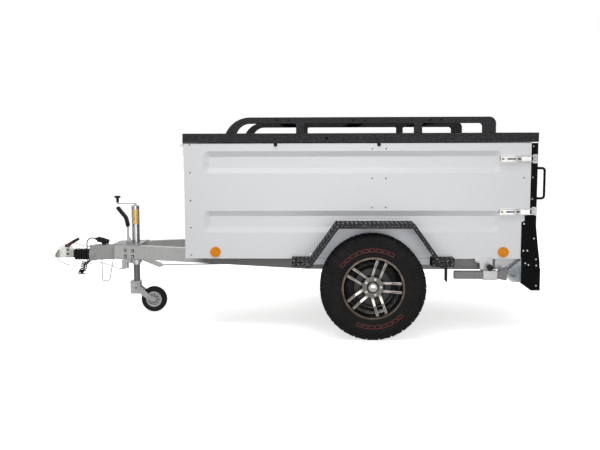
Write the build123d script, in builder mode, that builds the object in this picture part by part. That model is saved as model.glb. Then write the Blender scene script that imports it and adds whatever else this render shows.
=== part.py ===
"""Off-road utility trailer with a lid, a roof rack, a drop tailgate and a V drawbar.

Frame: +X forward to the coupling, +Y left, +Z up, origin on the ground under the centre of
the bounding box.  Stations along the trailer are distances behind the front panel's face.
"""
from build123d import *
from math import atan2, cos, degrees, hypot, pi, radians, sin, tan
import os

os.makedirs("parts", exist_ok=True)

# ---- driving dimensions, mm -------------------------------------------------------------
NOSE_REACH = 1118        # coupling nose ahead of the front panel
BODY_LENGTH = 2295       # side panels
REAR_REACH = 2400        # back of the tailgate handles, behind the front panel
BODY_HALF = 650          # half the width over the side panels
SIDE_BOTTOM, SIDE_TOP = 506, 1275
WALL = 25                # side and front panels, over their pressed ribs
FLOOR_Z = 527            # underside of the floor, top of the chassis beams
FLOOR_THICK = 12
LID_BOTTOM, LID_TOP = 1280, 1342
LID_FRONT, LID_REAR = -8, 2344
LID_HALF = 655
RAIL_TOP, RAIL_DEPTH = 1447, 42      # rack rails
RAIL_Y, RAIL_THICK = 610, 30         # inner face and thickness of a rack rail
BEAM_HEIGHT, BEAM_WIDTH = 100, 60
AXLE = 1251              # station of the wheels
TYRE_R, TYRE_WIDTH = 344, 220
TYRE_INNER = 668         # inner face of the tyre
RIM_R = 204
FENDER_OUT = 895
TOW_Z = 441              # height of the tow ball and of the draw tube
JOCKEY = -492            # station of the jockey wheel's tube
JOCKEY_R, JOCKEY_TRAIL = 97, 130

FRONT_X = (REAR_REACH - NOSE_REACH) / 2
TYRE_OUTER = TYRE_INNER + TYRE_WIDTH
TAILGATE_FRONT, TAILGATE_BACK = 2300, 2340


# ---- planes: local x runs rearwards from the front panel, local y up (or left) ------------
def side_plane(y):
    """Lengthways upright plane at this Y; extrusion goes left (+Y)."""
    return Plane(origin=(FRONT_X, y, 0), x_dir=(-1, 0, 0), z_dir=(0, 1, 0))


def plan_plane(z):
    """Level plane at this height, seen from above; extrusion goes down."""
    return Plane(origin=(FRONT_X, 0, z), x_dir=(-1, 0, 0), z_dir=(0, 0, -1))


def station_plane(station):
    """Crosswise upright plane, local x to the left; extrusion goes forwards."""
    return Plane(origin=(FRONT_X - station, 0, 0), x_dir=(0, 1, 0), z_dir=(1, 0, 0))


def point(station, y, z):
    return (FRONT_X - station, y, z)


def cross_axis(station, z):
    """Axis across the trailer, pointing left."""
    return Axis(point(station, 0, z), (0, 1, 0))


def save(part, name):
    part.label = name
    export_step(part, f"parts/{name}.step")


def save_pair(part, name):
    save(part, f"{name}_left")
    save(mirror(part, about=Plane.XZ), f"{name}_right")


# ---- chassis ------------------------------------------------------------------------------
V_START, V_START_Y = -612, 88        # front end of a drawbar beam's centre line, less its cap
V_BEND, BEAM_Y = 830, 570            # where it turns parallel to the body
BEAM_END = 2254

with BuildPart() as beams:
    with BuildSketch(plan_plane(FLOOR_Z)):
        with BuildLine():
            centre = Polyline((V_START, V_START_Y), (V_BEND, BEAM_Y), (BEAM_END, BEAM_Y))
            offset(centre, amount=BEAM_WIDTH / 2, side=Side.BOTH, kind=Kind.INTERSECTION)
        make_face()
    extrude(amount=BEAM_HEIGHT)
    fillet(beams.edges().group_by(Axis.Z)[0].filter_by(GeomType.LINE), 6)
    mirror(about=Plane.XZ)
save(beams.part, "chassis_beams")

CROSS_STATIONS = (20, 720, 1480, 2230)
CHANNEL_WIDTH, CHANNEL_HEIGHT, CHANNEL_SHEET = 50, 60, 4
with BuildPart() as cross_members:
    for station in CROSS_STATIONS:
        run = (station - V_START) / (V_BEND - V_START)
        centre_y = min(BEAM_Y, V_START_Y + run * (BEAM_Y - V_START_Y))
        reach = centre_y - BEAM_WIDTH / 2 - CHANNEL_SHEET
        with BuildSketch(side_plane(-reach)):
            with Locations((station + CHANNEL_WIDTH / 2, FLOOR_Z - CHANNEL_HEIGHT / 2)):
                Rectangle(CHANNEL_WIDTH, CHANNEL_HEIGHT)
                with Locations((CHANNEL_SHEET, 0)):
                    Rectangle(CHANNEL_WIDTH, CHANNEL_HEIGHT - 2 * CHANNEL_SHEET, mode=Mode.SUBTRACT)
        extrude(amount=2 * reach)
save(cross_members.part, "cross_members")

with BuildPart() as floor:
    with BuildSketch(plan_plane(FLOOR_Z + FLOOR_THICK)):
        with Locations((BODY_LENGTH / 2, 0)):
            Rectangle(BODY_LENGTH, 2 * (BODY_HALF - WALL))
    extrude(amount=FLOOR_THICK)
save(floor.part, "floor")

# ---- body: side panels with two pressed ribs, front panel, rim seal, sill ------------------
RIB_LENGTH, RIB_HEIGHT, RIB_FLOOR, RIB_DEPTH = 1975, 147, 74, 18
RIB_MIDDLE = 1117
RIB_HEIGHTS = (1151, 755)

with BuildPart() as side_panel:
    with BuildSketch(side_plane(BODY_HALF - WALL)):
        with BuildLine():
            Polyline((0, SIDE_BOTTOM), (0, SIDE_TOP), (BODY_LENGTH, SIDE_TOP), (BODY_LENGTH, 752),
                     (2250, 752), (2250, SIDE_BOTTOM), close=True)
        make_face()
    extrude(amount=WALL)
    for height in RIB_HEIGHTS:
        slope = RIB_HEIGHT - RIB_FLOOR
        with BuildSketch(side_plane(BODY_HALF)):
            with Locations((RIB_MIDDLE, height)):
                RectangleRounded(RIB_LENGTH, RIB_HEIGHT, 40)
        with BuildSketch(side_plane(BODY_HALF - RIB_DEPTH)):
            with Locations((RIB_MIDDLE, height)):
                RectangleRounded(RIB_LENGTH - slope, RIB_FLOOR, 12)
        loft(ruled=True, mode=Mode.SUBTRACT)
save_pair(side_panel.part, "side_panel")

with BuildPart() as front_panel:
    with BuildSketch(station_plane(WALL)):
        with Locations((0, (FLOOR_Z + FLOOR_THICK + SIDE_TOP) / 2)):
            Rectangle(2 * (BODY_HALF - WALL), SIDE_TOP - FLOOR_Z - FLOOR_THICK)
    extrude(amount=WALL)
    for height in RIB_HEIGHTS:
        with BuildSketch(station_plane(0)):
            with Locations((0, height)):
                RectangleRounded(1080, RIB_HEIGHT, 40)
        with BuildSketch(station_plane(RIB_DEPTH)):
            with Locations((0, height)):
                RectangleRounded(1080 - RIB_HEIGHT + RIB_FLOOR, RIB_FLOOR, 12)
        loft(ruled=True, mode=Mode.SUBTRACT)
save(front_panel.part, "front_panel")

SEAL_INNER, SEAL_OUTER, SEAL_THICK = 628, 644, 4
with BuildPart() as rim_seal:
    with BuildSketch(plan_plane(SIDE_TOP + SEAL_THICK)):
        with Locations((BODY_LENGTH / 2, 0)):
            Rectangle(BODY_LENGTH, 2 * SEAL_OUTER)
        with Locations((BODY_LENGTH / 2 + 6, 0)):
            Rectangle(BODY_LENGTH, 2 * SEAL_INNER, mode=Mode.SUBTRACT)
    extrude(amount=SEAL_THICK)
save(rim_seal.part, "rim_seal")

SILL_BOTTOM = 466
SILL_LENGTH, SILL_INNER, SILL_OUTER, SILL_SHEET = 800, 600, 645, 4
with BuildPart() as sills:
    for drop, outer, how in ((0, SILL_OUTER, Mode.ADD), (SILL_SHEET, SILL_OUTER - SILL_SHEET, Mode.SUBTRACT)):
        with BuildSketch(side_plane(SILL_INNER)):
            with Locations((AXLE, (SILL_BOTTOM + SIDE_BOTTOM) / 2 - drop)):
                Rectangle(SILL_LENGTH, SIDE_BOTTOM - SILL_BOTTOM)
        extrude(amount=outer - SILL_INNER, mode=how)
    mirror(about=Plane.XZ)
save(sills.part, "sills")

# ---- lid: frame, top sheet and two hinges --------------------------------------------------
LID_WALL, LID_SHEET = 40, 12
with BuildPart() as lid_frame:
    middle = (LID_FRONT + LID_REAR) / 2
    with BuildSketch(plan_plane(LID_TOP)):
        with Locations((middle, 0)):
            RectangleRounded(LID_REAR - LID_FRONT, 2 * LID_HALF, 18)
            Rectangle(LID_REAR - LID_FRONT - 2 * LID_WALL, 2 * (LID_HALF - LID_WALL),
                      mode=Mode.SUBTRACT)
    extrude(amount=LID_TOP - LID_BOTTOM)
    fillet(lid_frame.faces().sort_by(Axis.Z)[-1].outer_wire().edges(), 4)
save(lid_frame.part, "lid_frame")

with BuildPart() as lid_sheet:
    with BuildSketch(plan_plane(LID_TOP - 6)):
        with Locations((middle, 0)):
            Rectangle(LID_REAR - LID_FRONT - 2 * LID_WALL, 2 * (LID_HALF - LID_WALL))
    extrude(amount=LID_SHEET)
    with BuildSketch(plan_plane(LID_TOP - 6)):
        with GridLocations(430, 0, 5, 1):
            with Locations((middle, 0)):
                RectangleRounded(120, 1000, 30)
    extrude(amount=-4)
save(lid_sheet.part, "lid_sheet")

LID_HINGE, LID_HINGE_Z, BARREL_R, PIN_R = -14, 1262, 10, 4
BARREL_Y, GATE_BARREL_Y = 590, 470   # inner ends of the moving hinge barrels, 28 long

with BuildPart() as lid_hinges:
    with BuildSketch(side_plane(BARREL_Y)):
        with Locations((LID_HINGE, LID_HINGE_Z)):
            Circle(BARREL_R)
        with Locations((LID_FRONT - 2.5, LID_HINGE_Z + 32)):
            Rectangle(5, 64)
        with Locations((LID_HINGE, LID_HINGE_Z)):
            Circle(PIN_R + 0.1, mode=Mode.SUBTRACT)
    extrude(amount=28)
    mirror(about=Plane.XZ)
save(lid_hinges.part, "lid_hinges")

# ---- roof rack: two side rails and three crossbars -----------------------------------------
RACK_FRONT, RACK_REAR = 281, 2063
RAIL_BOTTOM = RAIL_TOP - RAIL_DEPTH
POSTS = (775, 1554)      # the two middle posts
POST_WIDTH = 53

with BuildPart() as rack_rails:
    with BuildSketch(side_plane(RAIL_Y)):
        with BuildLine():
            RadiusArc((RACK_FRONT, LID_TOP), (443, RAIL_TOP), 177)
            Line((443, RAIL_TOP), (RACK_REAR - 45, RAIL_TOP))
            RadiusArc((RACK_REAR - 45, RAIL_TOP), (RACK_REAR, RAIL_TOP - 45), 45)
            Line((RACK_REAR, RAIL_TOP - 45), (RACK_REAR, LID_TOP))
            Line((RACK_REAR, LID_TOP), (1976, LID_TOP))
            Line((1976, LID_TOP), (1976, RAIL_BOTTOM - 22))
            RadiusArc((1976, RAIL_BOTTOM - 22), (1954, RAIL_BOTTOM), -22)
            Line((1954, RAIL_BOTTOM), (440, RAIL_BOTTOM))
            RadiusArc((440, RAIL_BOTTOM), (353, LID_TOP), -95)
            Line((353, LID_TOP), (RACK_FRONT, LID_TOP))
        make_face()
        for station in POSTS:
            with Locations((station, (LID_TOP + RAIL_BOTTOM) / 2)):
                Rectangle(POST_WIDTH, RAIL_BOTTOM - LID_TOP)
    extrude(amount=RAIL_THICK)
    corners = rack_rails.edges().filter_by(Axis.Y)
    inside = [e for e in corners if abs(e.center().Z - RAIL_BOTTOM) < 1
              and min(abs(FRONT_X - e.center().X - s) for s in POSTS) < POST_WIDTH]
    fillet(inside, 12)
    fillet(rack_rails.faces().sort_by(Axis.Y)[-1].edges(), 3)
    mirror(about=Plane.XZ)
save(rack_rails.part, "rack_rails")

CROSSBARS = (664, 1165, 1667)
with BuildPart() as crossbars:
    for station in CROSSBARS:
        with BuildSketch(side_plane(-RAIL_Y)):
            with Locations((station, RAIL_BOTTOM + 21)):
                RectangleRounded(112, 26, 4)
            with Locations((station, RAIL_BOTTOM + 17)):
                Rectangle(104, 26, mode=Mode.SUBTRACT)
        extrude(amount=2 * RAIL_Y)
save(crossbars.part, "crossbars")

# ---- tailgate, its handles, keepers and hinges ----------------------------------------------
TAILGATE_HALF, TAILGATE_BOTTOM, TAILGATE_TOP = 645, 534, 1274
GATE_HINGE, GATE_HINGE_Z = 2355, 524
HANDLE_Y, HANDLE_R, HANDLE_TOP, HANDLE_LOW = 622, 8, 1108, 908

with BuildPart() as tailgate:
    with BuildSketch(side_plane(-TAILGATE_HALF)):
        with Locations(((TAILGATE_FRONT + TAILGATE_BACK) / 2,
                        (TAILGATE_BOTTOM + TAILGATE_TOP) / 2)):
            Rectangle(TAILGATE_BACK - TAILGATE_FRONT, TAILGATE_TOP - TAILGATE_BOTTOM)
    extrude(amount=2 * TAILGATE_HALF)
    with BuildSketch(station_plane(TAILGATE_BACK)):
        with Locations((0, (TAILGATE_BOTTOM + TAILGATE_TOP) / 2)):
            Rectangle(2 * TAILGATE_HALF - 90, TAILGATE_TOP - TAILGATE_BOTTOM - 90)
    extrude(amount=12, mode=Mode.SUBTRACT)
    with BuildLine():
        FilletPolyline(point(TAILGATE_BACK - 2, HANDLE_Y, HANDLE_TOP),
                       point(REAR_REACH - HANDLE_R, HANDLE_Y, HANDLE_TOP),
                       point(REAR_REACH - HANDLE_R, HANDLE_Y, HANDLE_LOW),
                       point(TAILGATE_BACK - 2, HANDLE_Y, HANDLE_LOW), radius=18)
    with BuildSketch(station_plane(TAILGATE_BACK - 2)):
        with Locations((HANDLE_Y, HANDLE_TOP)):
            Circle(HANDLE_R)
    sweep()
    mirror(about=Plane.XZ)
save(tailgate.part, "tailgate_frame")

with BuildPart() as tailgate_sheet:
    with BuildSketch(station_plane(TAILGATE_BACK - 5)):
        with Locations((0, (TAILGATE_BOTTOM + TAILGATE_TOP) / 2)):
            Rectangle(2 * TAILGATE_HALF - 90, TAILGATE_TOP - TAILGATE_BOTTOM - 90)
    extrude(amount=7)
save(tailgate_sheet.part, "tailgate_sheet")

REAR_BAR_FRONT, REAR_BAR_BACK = 2286, 2344
with BuildPart() as rear_bar:
    with BuildSketch(side_plane(-BODY_HALF + WALL)):
        with Locations(((REAR_BAR_FRONT + REAR_BAR_BACK) / 2, 476)):
            Rectangle(REAR_BAR_BACK - REAR_BAR_FRONT, 98)
    extrude(amount=2 * (BODY_HALF - WALL))
save(rear_bar.part, "rear_bar")

with BuildPart() as hinge_bases:
    for station, height, y, leaf, leaf_z in (
            (LID_HINGE, LID_HINGE_Z, BARREL_Y, (-2.5, 5), LID_HINGE_Z - 32),
            (GATE_HINGE, GATE_HINGE_Z, GATE_BARREL_Y, (REAR_BAR_BACK + 3, 6), GATE_HINGE_Z - 38)):
        with BuildSketch(side_plane(y + 30)):
            with Locations((station, height)):
                Circle(BARREL_R)
            with Locations((leaf[0], leaf_z)):
                Rectangle(leaf[1], 64)
        extrude(amount=30)
        with BuildSketch(side_plane(y)):
            with Locations((station, height)):
                Circle(PIN_R)
        extrude(amount=30)
    mirror(about=Plane.XZ)
save(hinge_bases.part, "hinge_bases")

# ---- fenders, steps and mud flaps -----------------------------------------------------------
FENDER_TOP, FENDER_BOTTOM, FENDER_PLATE, FENDER_LIP = 762, 482, 4, 28
STEP_TOP, STEP_BOTTOM, STEP_OUT = 521, 468, 750
FENDER_MIDDLE, FENDER_HALF, FENDER_SLOPE = AXLE + 12, 250, 5 / 7   # its legs lean out this much


def fender_outline(bottom):
    """Closed trapezoid over the wheel, cut off level at this height."""
    foot = FENDER_HALF + FENDER_SLOPE * (FENDER_TOP - bottom)
    half = ((FENDER_HALF, FENDER_TOP), (foot, bottom))
    return ([(FENDER_MIDDLE + x, z) for x, z in half]
            + [(FENDER_MIDDLE - x, z) for x, z in reversed(half)])


def fender_band(width, bottom):
    """Band of this width inside the fender's outline."""
    with BuildSketch() as band:
        with BuildLine():
            Polyline(*fender_outline(bottom), close=True)
        make_face()
        with BuildLine():
            Polyline(*fender_outline(bottom - 2 * width), close=True)
        hollow = make_face(mode=Mode.PRIVATE)
        offset(hollow, amount=-width, kind=Kind.INTERSECTION, mode=Mode.SUBTRACT)
    return band.sketch


with BuildPart() as fenders:
    with BuildSketch(side_plane(BODY_HALF)):
        add(fender_band(FENDER_PLATE, STEP_TOP + 3))
    extrude(amount=FENDER_OUT - FENDER_PLATE - BODY_HALF)
    mirror(about=Plane.XZ)
save(fenders.part, "fenders")

with BuildPart() as fender_lips:
    with BuildSketch(side_plane(FENDER_OUT - FENDER_PLATE)):
        add(fender_band(FENDER_LIP, FENDER_BOTTOM))
    extrude(amount=FENDER_PLATE)
    mirror(about=Plane.XZ)
save(fender_lips.part, "fender_lips")

STEP_SPANS = ((722, 861), (1641, 1790))
with BuildPart() as steps:
    for near, far in STEP_SPANS:
        with BuildSketch(station_plane(far)):
            with BuildLine():
                FilletPolyline((BODY_HALF, STEP_TOP), (STEP_OUT, STEP_TOP), (STEP_OUT, STEP_BOTTOM),
                               radius=6)
                Polyline((STEP_OUT, STEP_BOTTOM), (BODY_HALF, STEP_BOTTOM), (BODY_HALF, STEP_TOP))
            make_face()
        extrude(amount=far - near)
        with BuildSketch(station_plane(far - 4)):
            with Locations(((BODY_HALF + STEP_OUT) / 2 - 2, (STEP_TOP + STEP_BOTTOM) / 2 - 4)):
                Rectangle(STEP_OUT - BODY_HALF - 4, STEP_TOP - STEP_BOTTOM)
        extrude(amount=far - near - 8, mode=Mode.SUBTRACT)
    mirror(about=Plane.XZ)
save(steps.part, "steps")

with BuildPart() as mud_flaps:
    with BuildSketch(station_plane(1744)):
        with Locations((700, (365 + STEP_TOP - 4) / 2)):
            Rectangle(90, STEP_TOP - 4 - 365)
    extrude(amount=6)
    mirror(about=Plane.XZ)
save(mud_flaps.part, "mud_flaps")

# ---- rear light guards, gussets, lamps and side reflectors ------------------------------------
GUARD_PLATE = 4
with BuildPart() as guards:
    with BuildSketch(side_plane(BODY_HALF)):
        with BuildLine():
            Polyline((2262, 800), (2329, 800), (2353, 600), (2368, 485), (2375, 293), (2314, 293),
                     (2145, 417), (2242, 500), (2242, 752), (2262, 760), close=True)
        make_face()
    extrude(amount=GUARD_PLATE)
    with BuildSketch(station_plane(2375)):
        with Locations((545, 368)):
            Rectangle(210, 150)
        with Locations((545, 368)):
            Rectangle(170, 105, mode=Mode.SUBTRACT)
    extrude(amount=GUARD_PLATE)
    mirror(about=Plane.XZ)
save(guards.part, "light_guards")

with BuildPart() as lamps:
    with BuildSketch(station_plane(2369)):
        with Locations((545, 368)):
            RectangleRounded(160, 95, 10)
    extrude(amount=45)
    mirror(about=Plane.XZ)
save(lamps.part, "rear_lamps")

PROP, PROP_Z = 2030, 405              # pivot of a prop stand
PROP_PIN = 8
with BuildPart() as brackets:
    with BuildSketch(side_plane(BEAM_Y + BEAM_WIDTH / 2)):
        with BuildLine():
            Polyline((2084, 500), (2248, 500), (2248, 342), (2200, 342), (2084, 440), close=True)
        make_face()
    extrude(amount=6)
    with BuildSketch(side_plane(BODY_HALF)):
        with BuildLine():
            Polyline((1940, 489), (1940, 516), (2056, 516), (2056, PROP_Z), (2048, 382), (2012, 382),
                     (1975, 430), (1970, 489), close=True)
        make_face()
    extrude(amount=4)
    with BuildSketch(side_plane(BEAM_Y + BEAM_WIDTH / 2)):
        with Locations((2000, 484)):
            Rectangle(100, 6)
    extrude(amount=54)
    with BuildSketch(side_plane(BODY_HALF + 4)):
        with Locations((PROP, PROP_Z)):
            Circle(PROP_PIN)
    extrude(amount=7)
    mirror(about=Plane.XZ)
save(brackets.part, "brackets")

REFLECTOR_R = 35
with BuildPart() as reflectors:
    for station in (204, 2126):
        with BuildSketch(side_plane(BODY_HALF)):
            with Locations((station, 551)):
                Circle(REFLECTOR_R)
        extrude(amount=9)
    mirror(about=Plane.XZ)
save(reflectors.part, "reflectors")

# ---- over-centre latches ------------------------------------------------------------------------
LATCH_HEIGHTS = (1170, 822)
with BuildPart() as latches:
    for height in LATCH_HEIGHTS:
        with BuildSketch(side_plane(BODY_HALF)):
            with Locations((2145, height)):
                RectangleRounded(110, 44, 4)
        extrude(amount=4)
        with BuildSketch(side_plane(BODY_HALF + 4)):
            with Locations((2150, height)):
                Rectangle(60, 26)
        extrude(amount=10)
        with BuildSketch(plan_plane(height + 14)):
            with BuildLine():
                Polyline((2092, 664), (2230, 664), (2290, 668), (2290, 672), (2230, 670),
                         (2180, 676), (2092, 676), close=True)
            make_face()
        extrude(amount=28)
    mirror(about=Plane.XZ)
save(latches.part, "latch_levers")

with BuildPart() as gate_fittings:
    for height in LATCH_HEIGHTS:
        with BuildSketch(side_plane(BODY_HALF + 5)):
            with Locations((2270, height)):
                SlotOverall(126, 42)
                SlotOverall(114, 30, mode=Mode.SUBTRACT)
        extrude(amount=6)
        with BuildSketch(side_plane(TAILGATE_HALF)):
            with Locations((2322, height)):
                RectangleRounded(30, 60, 4)
        extrude(amount=4)
        with BuildSketch(side_plane(TAILGATE_HALF + 4)):
            with Locations((2318, height)):
                Rectangle(12, 20)
        extrude(amount=16)
    with BuildSketch(side_plane(GATE_BARREL_Y)):
        with Locations((GATE_HINGE, GATE_HINGE_Z)):
            Circle(BARREL_R)
        with Locations((TAILGATE_BACK + 4, GATE_HINGE_Z + 40)):
            Rectangle(8, 72)
        with Locations((GATE_HINGE, GATE_HINGE_Z)):
            Circle(PIN_R + 0.1, mode=Mode.SUBTRACT)
    extrude(amount=28)
    mirror(about=Plane.XZ)
save(gate_fittings.part, "gate_fittings")

# ---- axle ------------------------------------------------------------------------------------
AXLE_TUBE, AXLE_TUBE_Z, AXLE_TUBE_SIZE = 1105, 394, 64
HUB_FACE = 796           # wheel mounting face, Y
DRUM_R, DRUM_INNER = 128, 722
STUB_R = 20

with BuildPart() as axle:
    with BuildSketch(side_plane(0)):
        with Locations((AXLE_TUBE, AXLE_TUBE_Z)):
            RectangleRounded(AXLE_TUBE_SIZE, AXLE_TUBE_SIZE, 10)
    extrude(amount=616)
    drop, run = TYRE_R - AXLE_TUBE_Z, AXLE - AXLE_TUBE
    with BuildSketch(side_plane(614)):
        with Locations((AXLE_TUBE + run / 2, AXLE_TUBE_Z + drop / 2)):
            SlotOverall(hypot(run, drop) + 76, 76, rotation=degrees(atan2(drop, run)))
    extrude(amount=24)
    with BuildSketch(side_plane(638)):
        with Locations((AXLE, TYRE_R)):
            Circle(30)
    extrude(amount=66)
    with BuildSketch(side_plane(704)):
        with Locations((AXLE, TYRE_R)):
            Circle(STUB_R)
    extrude(amount=86)
    mirror(about=Plane.XZ)
save(axle.part, "axle")

with BuildPart() as backing_plates:
    with BuildSketch(side_plane(DRUM_INNER - 14)):
        with Locations((AXLE, TYRE_R)):
            Circle(DRUM_R + 6)
            Circle(30, mode=Mode.SUBTRACT)
    extrude(amount=8)
    mirror(about=Plane.XZ)
save(backing_plates.part, "backing_plates")

# ---- wheels: drum, five-twin-spoke rim, all-terrain tyre, hub cap and wheel bolts --------------
WHEEL_AXIS = cross_axis(AXLE, TYRE_R)
RIM_IN, RIM_OUT = TYRE_INNER + 12, TYRE_OUTER - 12
BARREL_BORE, BARREL_WALL, BEAD_LEDGE = 176, 7, 190   # radii of the barrel, and of its bead seats
WELL_BORE = 158                                      # drop centre of the barrel
SPOKE_PAIRS, SPOKE_PHASE = 5, 0.5                    # the pairs' number, and the first one's angle
HUB_BORE, HUB_R, HUB_PAD = 33, 78, 30                # the middle's radii and thickness
BOLT_CIRCLE, BOLT_HOLE, BOLT_R, BOLT_WEB = 52, 10.5, 9.5, 10

with BuildPart() as drum:
    with BuildSketch(side_plane(DRUM_INNER)):
        with Locations((AXLE, TYRE_R)):
            Circle(DRUM_R)
            Circle(STUB_R + 0.3, mode=Mode.SUBTRACT)
    extrude(amount=HUB_FACE - DRUM_INNER)
    chamfer(drum.edges().filter_by(GeomType.CIRCLE).group_by(Axis.Y)[-1].sort_by(Edge.length.fget)[-1], 8)
save_pair(drum.part, "brake_drum")

with BuildPart() as rim:
    with BuildSketch(station_plane(AXLE)):
        with BuildLine():
            Polyline((RIM_IN, TYRE_R + RIM_R), (RIM_IN, TYRE_R + BEAD_LEDGE),
                     (RIM_IN + 22, TYRE_R + BARREL_BORE), (RIM_IN + 34, TYRE_R + WELL_BORE),
                     (RIM_OUT - 70, TYRE_R + WELL_BORE), (RIM_OUT - 50, TYRE_R + BARREL_BORE),
                     (RIM_OUT - 26, TYRE_R + BARREL_BORE), (RIM_OUT, TYRE_R + RIM_R - 12),
                     (RIM_OUT, TYRE_R + RIM_R), (RIM_OUT - 6, TYRE_R + RIM_R),
                     (RIM_OUT - 10, TYRE_R + BEAD_LEDGE),
                     (RIM_OUT - 34, TYRE_R + BARREL_BORE + BARREL_WALL),
                     (RIM_OUT - 56, TYRE_R + BARREL_BORE + BARREL_WALL),
                     (RIM_OUT - 76, TYRE_R + WELL_BORE + BARREL_WALL),
                     (RIM_IN + 40, TYRE_R + WELL_BORE + BARREL_WALL),
                     (RIM_IN + 28, TYRE_R + BARREL_BORE + BARREL_WALL),
                     (RIM_IN + 10, TYRE_R + BEAD_LEDGE), (RIM_IN + 6, TYRE_R + RIM_R), close=True)
        make_face()
    revolve(axis=WHEEL_AXIS)
    with BuildSketch(station_plane(AXLE)):
        with BuildLine():
            Polyline((HUB_FACE, TYRE_R + HUB_BORE), (HUB_FACE, TYRE_R + HUB_R),
                     (HUB_FACE + 16, TYRE_R + HUB_R), (HUB_FACE + HUB_PAD, TYRE_R + HUB_R - 10),
                     (HUB_FACE + HUB_PAD, TYRE_R + HUB_BORE + 7),
                     (HUB_FACE + HUB_PAD - 4, TYRE_R + HUB_BORE), close=True)
        make_face()
    revolve(axis=WHEEL_AXIS)
    spoke_front = Plane(origin=point(AXLE, 0, TYRE_R), x_dir=(-1, 0, 0), z_dir=(0, 1, 0))
    spoke_flank = Plane(origin=point(AXLE, 0, TYRE_R), x_dir=(-1, 0, 0), z_dir=(0, 0, -1))
    with BuildSketch(spoke_flank, mode=Mode.PRIVATE) as spoke_side:
        with BuildLine():
            Polyline((60, HUB_FACE + 6), (60, HUB_FACE + HUB_PAD - 1), (120, HUB_FACE + 40),
                     (188, RIM_OUT - 8), (178, RIM_OUT - 30), (120, HUB_FACE + 18), close=True)
        make_face()
    with BuildSketch(spoke_front, mode=Mode.PRIVATE) as spoke_face:
        with BuildLine():
            Polyline((60, 16), (60, 34), (110, 35), (190, 38), (190, 21), (110, 20), close=True)
        make_face()
        mirror(about=Plane(spoke_front.origin, x_dir=(0, 1, 0), z_dir=(0, 0, 1)))
    side_block = extrude(spoke_side.sketch, amount=62, both=True, mode=Mode.PRIVATE)
    face_block = extrude(spoke_face.sketch, amount=TYRE_OUTER, mode=Mode.PRIVATE)
    pair = side_block & face_block
    for turn in range(SPOKE_PAIRS):
        add(pair.rotate(WHEEL_AXIS, SPOKE_PHASE + turn * 360 / SPOKE_PAIRS))
    with BuildSketch(side_plane(HUB_FACE + BOLT_WEB)):
        with Locations((AXLE, TYRE_R)):
            with PolarLocations(BOLT_CIRCLE, SPOKE_PAIRS, start_angle=SPOKE_PHASE):
                Circle(BOLT_HOLE)
    extrude(amount=HUB_PAD, mode=Mode.SUBTRACT)
save_pair(rim.part, "rim")

LUGS, LUG_DEPTH, LUG_SHARE = 26, 8, 0.76             # blocks a turn, their depth, share of a pitch
LUG_ROOT = TYRE_R - LUG_DEPTH
LUG_FOOT = 270                                       # buried in the carcass
CARCASS = ((16, RIM_R), (0, 262), (14, 314), (28, LUG_ROOT - 3))     # inset from a flank, radius
SHOULDER = ((9, 306), (24, TYRE_R - 3), (60, TYRE_R))
CENTRE_RIB = (72, 148)


def wheel_plane(y, station=AXLE, height=TYRE_R):
    """Upright plane across a wheel's axis, local x straight down."""
    return Plane(origin=point(station, y, height), x_dir=(0, 0, -1), z_dir=(0, 1, 0))


def lug_ring(radius, shift=0.0):
    """Toothed outline of the tread blocks, turned by this share of a pitch."""
    pitch = 360 / LUGS
    half = pitch * LUG_SHARE / 2
    outer = radius if shift else radius / cos(radians(half))
    corners = []
    for lug in range(LUGS):
        for turn, reach in ((-half, outer), (half, outer), (half, LUG_FOOT), (pitch - half, LUG_FOOT)):
            angle = radians((lug + shift) * pitch + turn)
            corners.append((reach * cos(angle), reach * sin(angle)))
    return corners


with BuildPart() as tyre:
    sections = [(TYRE_INNER + inset, radius) for inset, radius in CARCASS]
    sections += [(TYRE_OUTER - inset, radius) for inset, radius in reversed(CARCASS)]
    for y, radius in sections:
        with BuildSketch(wheel_plane(y)):
            RegularPolygon(radius, LUGS, rotation=180 / LUGS)
    loft(ruled=True)
    for flank, lean in ((TYRE_INNER, 1), (TYRE_OUTER, -1)):
        for inset, radius in SHOULDER:
            with BuildSketch(wheel_plane(flank + lean * inset)):
                with BuildLine():
                    Polyline(*lug_ring(radius), close=True)
                make_face()
        loft(ruled=True)
    with BuildSketch(wheel_plane(TYRE_INNER + CENTRE_RIB[0])):
        with BuildLine():
            Polyline(*lug_ring(TYRE_R, shift=0.5), close=True)
        make_face()
    extrude(amount=CENTRE_RIB[1] - CENTRE_RIB[0])
    with BuildSketch(wheel_plane(TYRE_INNER)):
        RegularPolygon(RIM_R + 0.2, LUGS, major_radius=False)
    extrude(amount=TYRE_WIDTH, mode=Mode.SUBTRACT)
save_pair(tyre.part, "tyre")

with BuildPart() as hub_cap:
    with BuildSketch(station_plane(AXLE)):
        with BuildLine():
            Polyline((HUB_FACE + 1, TYRE_R), (HUB_FACE + 1, TYRE_R + 32), (HUB_FACE + 36, TYRE_R + 32),
                     (HUB_FACE + 43, TYRE_R + 28), (HUB_FACE + 48, TYRE_R + 18),
                     (HUB_FACE + 50, TYRE_R), close=True)
        make_face()
    revolve(axis=WHEEL_AXIS)
    with BuildSketch(side_plane(HUB_FACE + BOLT_WEB)):
        with Locations((AXLE, TYRE_R)):
            with PolarLocations(BOLT_CIRCLE, SPOKE_PAIRS, start_angle=SPOKE_PHASE):
                RegularPolygon(BOLT_R, 6)
    extrude(amount=HUB_PAD - BOLT_WEB)
save_pair(hub_cap.part, "hub_cap")

# ---- prop stands: a clamp that swivels on its bracket and a leg that slides in it --------------
LEG_SIZE, LEG_INNER, SLEEVE_GAP, SLEEVE_WALL = 50, 662, 0.3, 5.7
LEG_FRONT, LEG_BACK = 1797, 2088
sleeve_half = LEG_SIZE / 2 + SLEEVE_GAP + SLEEVE_WALL
leg_y = LEG_INNER + LEG_SIZE / 2

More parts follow.
